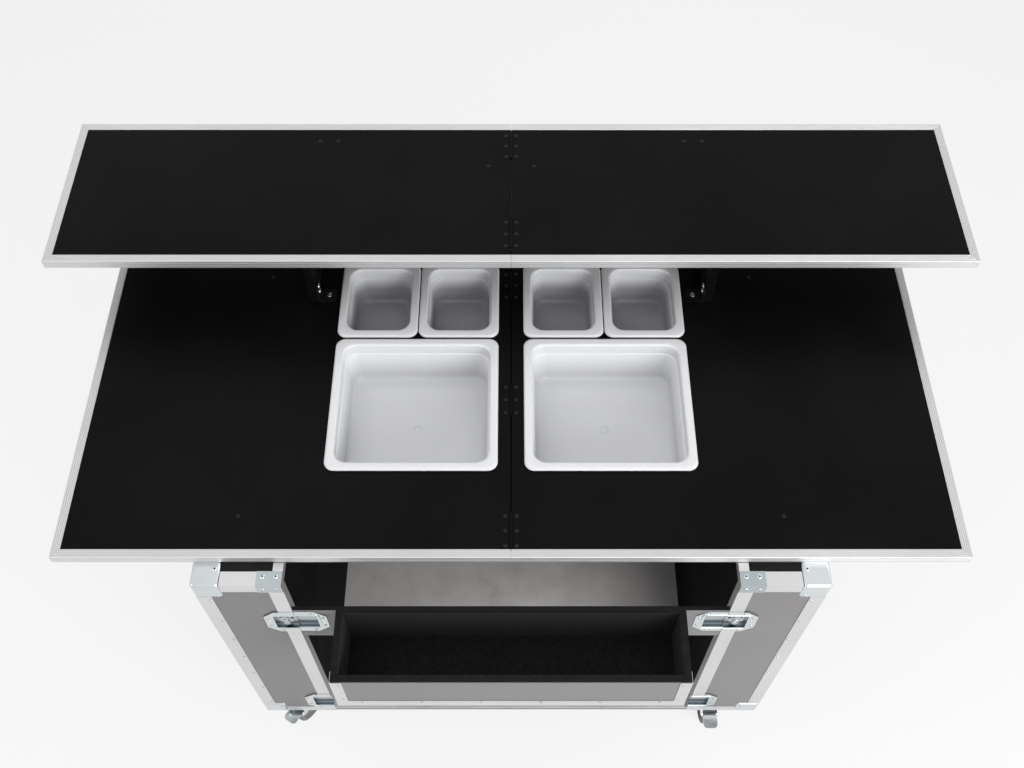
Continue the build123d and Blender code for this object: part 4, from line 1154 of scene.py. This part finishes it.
def revolved_ring(outline, segments):
    """A closed outline of (radius, height) turned about Z, so that rows and columns both run round."""
    rows = len(outline)
    angle = np.arange(segments) * 2 * math.pi / segments
    radius, height = outline.T[..., None]
    shape = (rows, segments)
    level = np.broadcast_to(height, shape)
    points = np.stack([radius * np.cos(angle), radius * np.sin(angle), level], axis=-1)
    index = np.arange(rows * segments).reshape(shape)
    down = np.roll(index, -1, axis=0)
    quads = np.stack([index, np.roll(index, -1, axis=1), np.roll(down, -1, axis=1), down], axis=-1)
    return outward((points.reshape(-1, 3), [quads.reshape(-1, 4)]))


def race_outline(count=12):
    """A small circle beside the axis: the section of a pressed ball race."""
    turn = np.arange(count) * 2 * math.pi / count
    return np.column_stack([RACE_RADIUS + RACE_THICKNESS * np.cos(turn), RACE_THICKNESS * np.sin(turn)])


def dress_caster(place):
    """A wheel about its axle and a race about its kingpin. Returns the bolts round that kingpin."""
    middle, axle = joint_line(f"{place}_wheel_spin")
    wheel = set_out(revolved_ring(WHEEL_OUTLINE, WHEEL_SEGMENTS), [middle], axle)
    piece = add_piece(f"{place}_tyre", wheel, GREY_RUBBER, f"{place}_roller", sharp_angle=40)
    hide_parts(f"{place}_wheel")
    fork_top = node_box(f"{place}_fork")[1][2]
    swivel = joint_line(f"{place}_swivel_turn")[0]
    kingpin = [(swivel[0], swivel[1], fork_top - RACE_DROP)]
    race = set_out(revolved_ring(race_outline(), RACE_SEGMENTS), kingpin, UP)
    add_piece(f"{place}_ball_race", race, ZINC, f"{place}_swivel")
    bolt_x, bolt_y = crossed([-BOLT_X, BOLT_X], [-BOLT_Y, BOLT_Y])
    under = node_box("base_board")[0][2] - PLATE_WALL
    bolts = on_plane(2, under, swivel[0] + bolt_x, swivel[1] + bolt_y)
    return set_out(BOLT_HEAD, bolts, DOWN)


CASTER_NAMES = [f"{way}_{side}" for way in ("service", "guest") for side in ("left", "right")]
CASTER_BOLTS = joined([dress_caster(place) for place in CASTER_NAMES])
add_piece("caster_bolts", CASTER_BOLTS, RIVET_STEEL, "case")
print("casters:", CASTER_NAMES)

# %% [markdown]
# ## Edge bands at the fold
# Where two halves of a top meet, the cut edge of each board is closed with a matte black band. The left
# one nearly fills the gap, so no light shows through the fold, and each turns over its board in a thin lip.
# Bands and lips are near black with no specular, a painted shadow that draws the dark line of the fold.
# Both are slim closed boxes, made with the same loft as the other pieces: a section carried from the front to the
# back.

# %% Band the middle edges of the halves
BAND_WALL = 0.54 * MM
BAND_FOOT = 1.0 * MM
BAND_BITE = 0.05 * MM
BAND_LIP = 1.3 * MM
LIP_WALL = 0.2 * MM
BAND_END = 19.0 * MM
# Near black with no specular: painted shadow that draws the dark line of the fold.
SEAM_SHADOW_BLACK = plastic(
    "seam_shadow_band", (0.001,) * 3, (0.002,) * 3, 0.9, 1.0, 1500.0, 0.00003, Specular_IOR_Level=0.0
)


def carried_box(x_range, z_range, y_range):
    """A box section, counter-clockwise in x and z, carried from one y to the other."""
    (left, right), (foot, top) = x_range, z_range
    section = np.array([(left, foot), (right, foot), (right, top), (left, top)])
    return closed_loft(np.stack([np.insert(section, 1, end, axis=1) for end in y_range]))


def seam_bands(top_name, left_body, right_body):
    """The upright band in the gap with the left board's lip, and the right board's lip by itself."""
    low, high = node_box(f"left_{top_name}")
    right_edge = node_box(f"right_{top_name}")[0][0]
    run = np.array([low[1] + BAND_END, high[1] - BAND_END])
    lip_heights = (high[2] + BAND_BITE - LIP_WALL, high[2] + BAND_BITE)
    upright = carried_box((high[0] - BAND_BITE, high[0] + BAND_WALL), (low[2] + BAND_FOOT, high[2]), run)
    left_shadow_lip = carried_box((high[0] - BAND_LIP, high[0]), lip_heights, run)
    right_shadow_lip = carried_box((right_edge, right_edge + BAND_LIP), lip_heights, run)
    add_piece(f"{top_name}_seam_band", joined([upright, left_shadow_lip]), SEAM_SHADOW_BLACK, left_body)
    add_piece(f"{top_name}_seam_shadow_lip", right_shadow_lip, SEAM_SHADOW_BLACK, right_body)


seam_bands("worktop", "case", "worktop_flap")
seam_bands("bar_top", "bar_left", "bar_right")
print("seam bands: 2, lips: 2")
